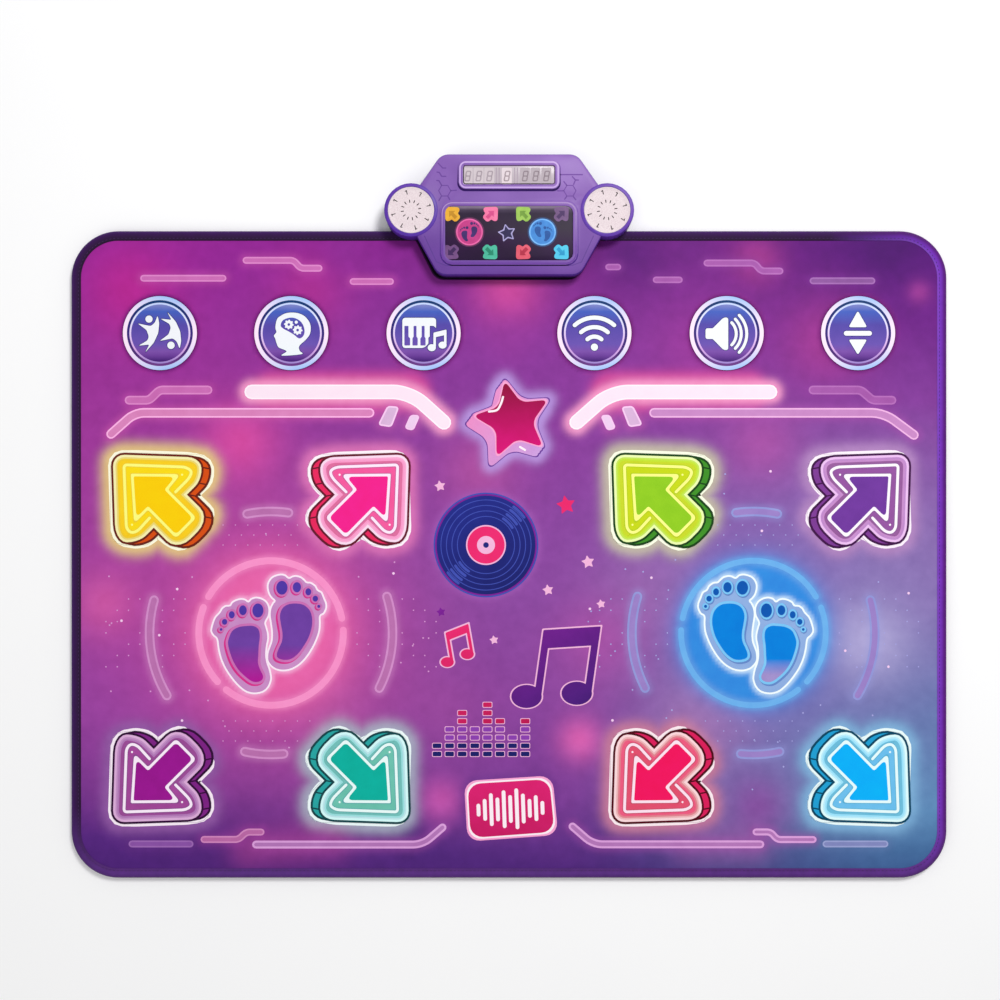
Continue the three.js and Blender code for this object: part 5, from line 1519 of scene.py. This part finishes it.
# %% The upper shell
POD_MIDDLE = Vector((127.0, 399.5))
POD_REACH = 35.4
ROOF_TOP = 36.0
bm = eased_copy("upper_shell", 0.9, 3)
for face in bm.faces:
    at = face.calc_center_median()
    near_pod = min((at.xy - Vector((side * POD_MIDDLE.x, POD_MIDDLE.y))).length for side in (-1, 1)) < POD_REACH
    if near_pod:
        face.material_index = 1
    # Sloped faces above the roof, the edges of the window frames, take the painted highlight.
    elif at.z > ROOF_TOP + 0.3 and abs(face.normal.z) < 0.98:
        face.material_index = 2
    # Steep faces well below the roof are the walls, with their painted shade.
    elif abs(face.normal.z) < 0.5 and at.z < ROOF_TOP - 2:
        face.material_index = 3
shell = settle("shell_top", bm, [SHELL_FINISH, POD_FINISH, RIM_HIGHLIGHT_FINISH, WALL_SHADE_FINISH], "mat", 40)
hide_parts("upper_shell")

# %% [markdown]
# A honeycomb is scratched into the roof beside the digits, and two lines run down the flanks. They are shallow
# grooves drawn as thin plates of a darker tone, a hair above the roof, because a groove of half a millimetre would
# be lost at this scale anyway; the darker tone is painted shade, as it would fall inside a real groove. The dark
# seams round the two windows are bands of the same kind, darkest below each frame and paling above it: painted
# shadow of the frames.

# %% Honeycomb lines
# The grooves' darker tone is painted shade.
INKS["groove"] = GROOVE_SHADE_FINISH
# The seams are painted shadow of the window frames: darkest below each frame, paling towards the top.
ink("seam_pane", "#2c0c58", "#9068b8", (509, 189.5), (509, 163))
ink("seam_window", "#4a2484", "#8a64b4", (509, 265), (509, 201))
# The ridges are painted highlights on the frames' edges; the lower window's is darker below and lighter above.
ink("ridge_pane", "#c8a8e4", "#ccaee4", (509, 188), (509, 162))
ink("ridge_window", "#6c409c", "#b496cc", (509, 250), (509, 203))
HEIGHT_SHIFT = EYE_HEIGHT * 1000 / (EYE_HEIGHT * 1000 - (ROOF_TOP - SHEET_TOP))


def on_roof(px, py):
    flat = spot(px, py)
    return centre + (flat - centre) / HEIGHT_SHIFT


grooves = Press(ROOF_TOP)


def hexagon(px, py, size):
    return [on_roof(px + size * math.cos(math.pi * k / 3), py - size * math.sin(math.pi * k / 3)) for k in range(6)]


GROOVE_MM = 1.5
COMB_CELL = 6.1
COMB_TWIGS = (
    ((438.3, 163.3), (442.7, 168.0), (445.8, 168.0)),
    ((437.0, 172.0), (439.2, 172.4), (441.8, 176.3), (445.8, 176.3)),
    ((436.8, 180.4), (439.0, 180.7), (441.4, 184.9)), ((451.2, 190.7), (456.5, 190.2)),
    ((448.1, 196.6), (449.6, 199.4)), ((441.2, 196.6), (439.0, 200.4)), ((558.0, 174.6), (582.4, 174.6)),
    ((572.4, 176.6), (575.4, 180.0), (573.6, 184.4)), ((576.2, 180.0), (578.4, 180.0)),
    ((563.9, 181.6), (566.5, 184.9)), ((557.6, 190.8), (563.2, 190.8)), ((566.5, 196.6), (564.7, 199.2)),
    ((573.4, 196.6), (575.8, 199.8)),
)
for px in (444.7, 569.9):
    rings = [hexagon(px, 190.7, COMB_CELL + by) for by in (0.5, -0.5)]
    grooves.band(*rings, "groove", 1)
for twig in COMB_TWIGS:
    grooves.line([on_roof(*at) for at in twig], GROOVE_MM, "groove", 1)
FLANK = [(424.5, 236), (436.5, 262), (446, 265.4), (509, 265.4)]
FLANK_AXIS, FLANK_MM = 509, 1.1
for side in (1, -1):
    grooves.line([on_roof(FLANK_AXIS + (x - FLANK_AXIS) * side, y) for x, y in FLANK], FLANK_MM, "groove", 1)
FRAME_WIDE = Vector((6.0, 6.0))
# Each seam is a band of painted shadow; the digit window's band is moved down and a little left, so it is widest below
# its frame.
SHADOW_SEAMS = (("display_lens", "pane", 9.0, (-0.2, -1.3), 1.5), ("panel_window", "window", 15.0, (0.0, 0.0), 1.3))
SEAM_LAP = ((0, 0), -0.6)
for node, name, corner, shift, reach in SHADOW_SEAMS:
    middle, half = extent(node)[:2]
    rings = [rounded_box(middle + Vector(at), half + FRAME_WIDE + Vector((by, by)), corner + by, 8)
             for at, by in ((shift, reach), SEAM_LAP)]
    grooves.band(*rings, "seam_" + name, 1)
printed("roof_grooves", grooves, "mat", "housing_plastic")

# %% [markdown]
# Each window stands in a raised frame, and a thin bright band is painted along the frame's edge as its highlight.

# %% The ridges of the frames
HIGHLIGHT_RIDGES = (("display_lens", "pane", 37.5, 3.4, (5.0, 3.0)), ("panel_window", "window", 37.0, 9.0, (4.8, 3.4)))
ridges = Press(ROOF_TOP)
for node, name, top, corner, reach in HIGHLIGHT_RIDGES:
    middle, half = extent(node)[:2]
    ridges.base = top
    rings = [rounded_box(middle, half + Vector((by, by)), corner + by, 8) for by in reach]
    ridges.band(*rings, "ridge_" + name, 1)
printed("frame_ridges", ridges, "mat", "housing_plastic")

# %% [markdown]
# The digit window is a pale milky pane over seven unlit figures in three groups. Each figure is a grey eight with
# slanted ends, on a slightly lighter cell, and a dark band of painted shade runs round the inside of the pane. The
# lower window is smoked, with a painted gleam, a paler band of colour, along its far edge.

# %% The digit window
def milky_recipe(w):
    low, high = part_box("panel_window")
    haze = noise(w, 18.0, 2.0)
    rise = slope(w, (low.x, low.y, 0.0), (low.x * 0.6, high.y, 0.0))
    return {
        "Base Color": mix(w, haze * 0.5 + rise * 0.5, hue("#aea2ac"), hue("#c4b8c0")),
        "Roughness": 0.25 + haze * 0.06,
        "Coat Weight": 0.1,
        "Coat Roughness": 0.12,
        "Specular IOR Level": 0.25,
        "Normal": grain(w, noise(w, 300.0), 0.00005, 0.2),
    }


def smoke_and_gleam_recipe(w):
    low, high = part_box("panel_window")
    rise = slope(w, (0.0, low.y, 0.0), (0.0, high.y, 0.0))
    haze = noise(w, 30.0, 2.0)
    # Dark smoke below, and a painted gleam along the far edge: the base colour pales there as a painted highlight.
    colour = ramp(w, rise, (0.0, "#241032"), (0.35, "#2e143c"), (0.6, "#2f2238"), (0.86, "#2f2339"),
                  (0.93, "#463a50"), (0.99, "#84758a"))
    return {
        "Base Color": mottled(w, colour, 0.4, 30.0),
        "Roughness": 0.45 + haze * 0.08,
        "Specular IOR Level": 0.15,
        "Normal": grain(w, noise(w, 300.0), 0.00005, 0.2),
    }


PANE_FINISH = finish("milky_pane", milky_recipe)
SMOKE_FINISH = finish("smoked_pane", smoke_and_gleam_recipe)
ink("figure", "#aa9ca6", gloss=0.3)
ink("figure_dark", "#a8989f", gloss=0.3)
ink("figure_dim", "#94868f", gloss=0.3)
ink("cell", "#cec2c8", gloss=0.3)
ink("cell_bright", "#e0d2d8", gloss=0.25)
ink("cell_dim", "#b8acb4", gloss=0.3)
ink("divider", "#b0a0ae", gloss=0.35)
# A dark band of painted shade round the inside of the digit pane, where its frame shades it.
ink("pane_edge", "#5c4268", gloss=0.35)
PANE_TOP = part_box("display_lens")[1].z * 1000
pane = settle("digit_pane", eased_copy("display_lens", 0.4), [PANE_FINISH], "mat")
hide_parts("display_lens")

# %% The figures
BAR_MM, BAR_SLANT = 1.7, 0.8
figures = Press(PANE_TOP)


def on_pane(px, py, top=PANE_TOP):
    return centre + (spot(px, py) - centre) * (EYE_HEIGHT * 1000 - top) / (EYE_HEIGHT * 1000 - SHEET_TOP)


def eight(px, py, wide, tall, name):
    half, rise = wide / 2, tall / 2
    for x0, y0, x1, y1 in (
        (-half, -rise, half, -rise), (-half, 0, half, 0), (-half, rise, half, rise),
        (-half, -rise, -half, 0), (-half, 0, -half, rise), (half, -rise, half, 0), (half, 0, half, rise),
    ):
        a = Vector((px + x0 - BAR_SLANT * y0 / rise, py + y0))
        b = Vector((px + x1 - BAR_SLANT * y1 / rise, py + y1))
        figures.line([on_pane(*a.lerp(b, 0.16)), on_pane(*a.lerp(b, 0.84))], BAR_MM, name, 2)


CELL_INKS = ((500, "cell", "figure"), (515, "cell_bright", "figure_dark"), (560, "cell_dim", "figure_dim"))
for px in (467.6, 478.6, 489.3, 506.8, 525.0, 535.5, 546.3):
    cell_ink, figure_ink = next(pair for end, *pair in CELL_INKS if px < end)
    cell = [on_pane(px - 5, 167.6), on_pane(px + 5, 167.6), on_pane(px + 5, 184.4), on_pane(px - 5, 184.4)]
    figures.plate(rounded(cell, 1.5), cell_ink, 1)
    eight(px + 0.3, 176, 4.4, 9.4, figure_ink)
for px in (496.4, 499.2, 514.6, 517.4):
    figures.line([on_pane(px, 168), on_pane(px, 184)], 1.6, "divider", 1)
# The band of painted shade runs round the pane's inner edge.
middle, half = extent("display_lens")[:2]
rings = [rounded_box(middle, half - Vector((by, by)), 3.4 - by, 4) for by in (0.0, 1.2)]
figures.band(*rings, "pane_edge", 1)
printed("figures", figures, "mat", "display_lens")
print("seven figures")

# %% [markdown]
# Behind the smoked window shine small pictures of the eight pads and the two circles. They are lit from behind, so
# their inks give off a little light of their own.

# %% Lit inks
def lit(name, card, power=0.35):
    def recipe(w):
        cloud = noise(w, 120.0)
        colour = mottled(w, hue(card), 0.4, 120.0)
        return {
            "Base Color": colour,
            "Emission Color": colour,
            "Emission Strength": power,
            "Roughness": 0.3 + cloud * 0.08,
            "Specular IOR Level": 0.25,
            "Normal": grain(w, cloud, 0.00004, 0.2),
        }

    INKS[name] = finish("lit_" + name, recipe)


PANEL_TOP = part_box("panel_window")[1].z * 1000
LAMPS = {
    (453, 214.6): ("yellow", "#e0a62e", "#bd861c", 1, 1), (490, 214.6): ("pink", "#e8709c", "#d04884", -1, 1),
    (524, 214.6): ("green", "#94bc50", "#6c9434", 1, 1), (560.7, 214.6): ("violet", "#6e4e7c", "#46285e", -1, 1),
    (452, 251.4): ("magenta", "#6a4478", "#3a1a54", 1, -1), (489.4, 251.4): ("teal", "#44b094", "#1a8468", -1, -1),
    (524, 251.4): ("red", "#d85468", "#ac2440", 1, -1), (560.7, 251.4): ("sky", "#48bee0", "#1c94c4", -1, -1),
}
for colour, base, sign, _, _ in LAMPS.values():
    lit("lamp_" + colour, base, 0.06)
    lit("lamp_sign_" + colour, sign, 0.03)
for name, disc, foot, rim, veil in (("pink", "#b8347c", "#3a2064", "#dc5c9c", "#5c2450"),
                                    ("blue", "#3c82cc", "#1c549c", "#6cacea", "#2c4472")):
    lit("lamp_disc_" + name, disc, 0.08)
    lit("lamp_foot_" + name, foot, 0.02)
    lit("lamp_rim_" + name, rim, 0.1)
    lit("lamp_veil_" + name, veil, 0.04)
lit("lamp_star", "#a49ccc", 0.06)
lit("lamp_star_core", "#241c48", 0.02)
print(len(LAMPS), "pad lamps")

# %% The window with its lamps
window = settle("smoked_window", eased_copy("panel_window", 0.5), [SMOKE_FINISH], "mat")
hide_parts("panel_window")
lamps = Press(PANEL_TOP)
LAMP_SCALE, LAMP_FOOT_SCALE, LAMP_TOE_SCALE = 0.153, 0.19, 0.27
LAMP_MIDDLE = (31.6, 28.0)
VEILS = ((14.6, "veil"), (13.2, "rim"), (11.8, "disc"))


def lamp_points(points, px, py, scale, across=1, down=1):
    return [on_pane(px + x * scale * across, py + y * scale * down, PANEL_TOP) for x, y in points]


for (px, py), (colour, _, _, across, down) in LAMPS.items():
    tile, arrow = ([(x - LAMP_MIDDLE[0], y - LAMP_MIDDLE[1]) for x, y in shape] for shape in (TILE, ARROW))
    tile = lamp_points(tile, px, py, LAMP_SCALE, across, down)
    lamps.plate(grown(rounded(tile, 3.4), 0.4), "lamp_" + colour, 1)
    arrow = lamp_points(arrow, px, py, LAMP_SCALE * 0.9, across, down)
    lamps.plate(arrow, "lamp_sign_" + colour, 2)
for (px, py), name, side in (((469.5, 232), "pink", 1), ((542.5, 232), "blue", -1)):
    for layer, (radius, part) in enumerate(VEILS, 1):
        lamps.plate(circle(on_pane(px, py, PANEL_TOP), radius * PICTURE_MM, 40), f"lamp_{part}_{name}", layer)
    for sole, toes in ((LOW_SOLE, LOW_TOES), (HIGH_SOLE, HIGH_TOES)):
        lamps.plate(flowing(lamp_points(sole, px, py, LAMP_FOOT_SCALE, side)), "lamp_foot_" + name, 4)
        for x, y, wide, _ in toes:
            toe = lamp_points([(x, y)], px, py, LAMP_FOOT_SCALE, side)[0]
            lamps.plate(circle(toe, wide * LAMP_TOE_SCALE * PICTURE_MM, 10), "lamp_foot_" + name, 5)
star_at = on_pane(507, 233, PANEL_TOP)
lamps.plate(star(star_at, 9.5, 5.0, 12, 1.2), "lamp_star", 1)
lamps.plate(star(star_at, 7.4, 3.6, 12, 0.8), "lamp_star_core", 2)
printed("window_lamps", lamps, "mat", "smoked_window")

# %% [markdown]
# A speaker grille is a shallow dome with a thin bright rim. Its section is spun round the pod's axis, then the slits
# are cut through it: twelve short ones near the centre and eight hooked ones further out.

# %% The grilles
def speckled_recipe(w):
    fleck = w.node("TexNoise", inputs={"Vector": place(w), "Scale": 900.0, "Detail": 4.0, "Roughness": 0.7})
    coarse = noise(w, 260.0)
    colour = ramp(w, fleck, (0.3, "#cdb9c0"), (0.5, "#e6d7db"), (0.72, "#f2e8e8"))
    return {
        "Base Color": mix(w, coarse * 0.3, colour, hue("#d8c4cc")),
        "Roughness": 0.5 + coarse * 0.15,
        "Specular IOR Level": 0.2,
        "Normal": grain(w, fleck, 0.0002, 0.4),
    }


def spun(middle, profile, steps):
    bm = bmesh.new()
    points = [bm.verts.new((middle.x + r, middle.y, z)) for r, z in profile]
    edges = [bm.edges.new(pair) for pair in zip(points, points[1:])]
    bmesh.ops.spin(bm, geom=points + edges, cent=(*middle, 0), axis=(0, 0, 1), angle=math.tau, steps=steps,
                   use_merge=True)
    bmesh.ops.holes_fill(bm, edges=[e for e in bm.edges if e.is_boundary], sides=0)
    return bm


GRILLE_FINISH = finish("speckled_cream", speckled_recipe)
for name in ("left", "right"):
    node = "speaker_grille_" + name
    low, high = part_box(node)
    middle = ((low + high) / 2 * 1000).xy
    z0, z1 = low.z * 1000, high.z * 1000
    reach = (high.x - low.x) * 500
    profile = [(0.02, z0), (reach - 0.2, z0), (reach, z0 + 0.3), (reach, z1 - 0.3), (reach - 0.4, z1),
               (reach - 1.2, z1), (reach - 1.8, z1 - 0.35), (reach * 0.75, z1 - 0.2), (reach * 0.4, z1 - 0.05),
               (0.02, z1)]
    grille = settle("grille_" + name, spun(middle, profile, 64), [GRILLE_FINISH], "mat", 50)
    cutters = bmesh.new()
    for count, radius, length, wide in ((12, 11.4, 3.0, 1.2), (8, 23.4, 4.8, 1.15)):
        for k in range(count):
            aim = math.tau * (k + 0.3) / count
            out = Vector((math.cos(aim), math.sin(aim)))
            across = Vector((-out.y, out.x))
            at = middle + out * radius
            slit = [at - out * length / 2, at + out * length / 2]
            if count == 8:
                slit += [at + out * length / 2 + across * 1.8 - out * 0.6]
            outline = [p / 1000 for p in ribbon(slit, wide, 3)]
            prism(cutters, outline, (z0 - 3) / 1000, (z1 + 3) / 1000)
    cut_with(grille, cutters, "DIFFERENCE", "EXACT")
    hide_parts(node)
    print(name, "grille:", len(grille.data.polygons), "faces")

# %% [markdown]
# ## The parts underneath and inside
# The lower shell, the battery door and its four cells are only seen from below or with the door off. The two shells
# get eased edges like the upper one, the rest keep their imported shape and get a finish of their own.

# %% The lower shell and the door
tub = settle("shell_tub", eased_copy("lower_shell", 0.45), [TUB_FINISH], "mat", 20)
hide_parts("lower_shell")
DOOR_FINISH = plastic("door_violet", "#452384", "#32146a", 0.4)
door = settle("battery_door", eased_copy("battery_cover", 0.35), [DOOR_FINISH], "battery_cover", 20)
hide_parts("battery_cover")


# %% Finishes for the small parts
def simple(light, dark, scale, gloss, metallic=0.0, depth=0.0001, stretch=None):
    def recipe(w):
        tone = noise(w, scale, 4.0, stretch)
        return {
            "Base Color": mix(w, tone, hue(dark), hue(light)),
            "Roughness": gloss + tone * 0.15,
            "Metallic": metallic,
            "Normal": grain(w, tone, depth, 0.4),
            "Specular IOR Level": 0.35,
        }
    return recipe


def cell_recipe(w):
    low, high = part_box("battery_1")
    along = slope(w, (low.x, 0.0, 0.0), (high.x, 0.0, 0.0))
    scuff = noise(w, 200.0)
    colour = ramp(w, along, (0.0, "#c9cbd0"), (0.03, "#22242b"), (0.66, "#26282f"), (0.68, "#c98a2e"),
                  (0.96, "#d59a3c"), (0.975, "#c9cbd0"))
    return {
        "Base Color": mottled(w, colour, 0.3, 200.0),
        "Roughness": 0.28 + scuff * 0.12,
        "Metallic": 0.3,
        "Normal": grain(w, scuff, 0.00005, 0.3),
    }


NODE_FINISHES = {
    "closed_cell_foam": (simple("#efeaf0", "#d6cfdb", 900.0, 0.85, 0.0, 0.0003), ["foam_pad", "spacer_sheet"]),
    "contact_film": (simple("#c9d0d4", "#aeb6bd", 60.0, 0.3),
                     ["lower_contact_film", "upper_contact_film", "ribbon_tail"]),
    "green_board": (simple("#2f8a58", "#1c6140", 500.0, 0.35), ["main_board", "panel_led_board"]),
    "dark_moulding": (simple("#2a2a30", "#1b1b20", 800.0, 0.45),
                      ["display_module", "ribbon_connector", "power_switch_body"]),
    "paper_cone": (simple("#2c292e", "#1c1a1e", 1200.0, 0.8, 0.0, 0.0003),
                   ["speaker_driver_left", "speaker_driver_right"]),
    "pressed_steel": (simple("#c4c7cc", "#9fa3aa", 300.0, 0.32, 0.9, 0.00005, (1, 12, 1)),
                      ["battery_contact_left", "battery_contact_right", "usb_socket", "clamp_plate"]),
    "battery_jacket": (cell_recipe, [f"battery_{i}" for i in range(1, 5)]),
    "soft_rubber": (simple("#2b282e", "#1a181d", 700.0, 0.75, 0.0, 0.0002),
                    ["rubber_foot_left", "rubber_foot_right"]),
    "cream_knob": (simple("#f2e8e6", "#e0d2d6", 500.0, 0.4), ["power_knob"]),
}
for name, (recipe, members) in NODE_FINISHES.items():
    made = finish(name, recipe)
    for node in members:
        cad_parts[node].data.materials.clear()
        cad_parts[node].data.materials.append(made)
print(len(NODE_FINISHES), "finishes for the small parts")

# %% [markdown]
# A pan-head screw has a low domed head with a cross recess. The head and shank are one section spun round the axis,
# and a bar with a plus-shaped section cuts the recess. It is one closed outline, because a cutter made of two bars
# that pass through each other would leave nothing of the screw.

# %% The screws
SCREW_STEEL = finish("screw_steel", simple("#d2d4d8", "#a8abb2", 500.0, 0.28, 1.0, 0.00004))
ARM, HALF = 2.1, 0.45
QUARTER = ((HALF, HALF), (ARM, HALF), (ARM, -HALF))
RECESS = [Vector(((x, y), (y, -x), (-x, -y), (-y, x))[turn]) for turn in range(4) for x, y in QUARTER]
RECESS_DEEP = 1.1
THREAD_PITCH = 0.9
SCREWS = [f"clamp_screw_{i}" for i in range(1, 5)] + [f"case_screw_{i}" for i in range(1, 5)] + ["battery_screw"]
for node in SCREWS:
    middle, _, z0, z1 = extent(node)
    profile = [(0.02, z0), (1.6, z0 + 0.12), (2.8, z0 + 0.5), (3.4, z0 + 1.1), (3.45, z0 + 1.95), (1.5, z0 + 2.0)]
    for k in range(int((z1 - z0 - 3.4) / THREAD_PITCH)):
        level = z0 + 2.2 + k * THREAD_PITCH
        profile += [(1.2, level), (1.5, level + 0.45)]
    profile += [(1.2, z1 - 0.8), (0.4, z1 - 0.1), (0.02, z1)]
    body = "battery_cover" if node == "battery_screw" else "mat"
    screw = settle("pan_" + node, spun(middle, profile, 20), [SCREW_STEEL], body, 40)
    cross = bmesh.new()
    prism(cross, [(middle + at) / 1000 for at in RECESS], (z0 - RECESS_DEEP) / 1000, (z0 + RECESS_DEEP) / 1000)
    cut_with(screw, cross, "DIFFERENCE", "EXACT")
    print("pan_" + node, "keeps", len(screw.data.polygons), "faces")
    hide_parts(node)
print(len(SCREWS), "screws")

# %% [markdown]
# ## The floor and the light
# A plain pale floor and a soft light, as in a product portrait. A broad panel hangs overhead and a little to the
# upper right, so that the unit casts a soft shadow to its lower left. The world fills the rest.

# %% Floor
def floor_recipe(w):
    tone = noise(w, 3.0, 2.0)
    return {
        "Base Color": mix(w, tone, hue("#ffffff"), hue("#fcfcfd")),
        "Roughness": 0.85 + tone * 0.05,
        "Normal": grain(w, noise(w, 400.0), 0.0001, 0.1),
    }


bm = bmesh.new()
bmesh.ops.create_grid(bm, x_segments=2, y_segments=2, size=8.0, matrix=Matrix.Translation((0, 0, -0.0002)))
mesh = bpy.data.meshes.new("floor")
bm.to_mesh(mesh)
bm.free()
mesh.materials.append(finish("pale_floor", floor_recipe))
floor = bpy.data.objects.new("floor", mesh)
bpy.context.scene.collection.objects.link(floor)
print("the floor lies at", floor.data.vertices[0].co.z)


# %% Lights
def panel(name, spot_at, aim_at, size, watts):
    data = bpy.data.lights.new(name, "AREA")
    data.shape, data.size, data.energy = "DISK", size, watts
    lamp = bpy.data.objects.new(name, data)
    lamp.location = spot_at
    lamp.rotation_euler = (Vector(aim_at) - Vector(spot_at)).to_track_quat("-Z", "Y").to_euler()
    bpy.context.scene.collection.objects.link(lamp)
    return lamp


panel("key_panel", (0.9, 1.5, 2.6), (0.0, 0.1, 0.0), 0.9, 56.0)
panel("fill_panel", (-1.8, -1.6, 2.4), (0.0, 0.0, 0.0), 2.6, 12.0)
world = bpy.data.worlds.new("studio")
bpy.context.scene.world = world
world.use_nodes = True
backdrop = world.node_tree.nodes["Background"]
backdrop.inputs["Color"].default_value = (1.0, 1.0, 1.0, 1.0)
backdrop.inputs["Strength"].default_value = 0.5
print("lights are hung")
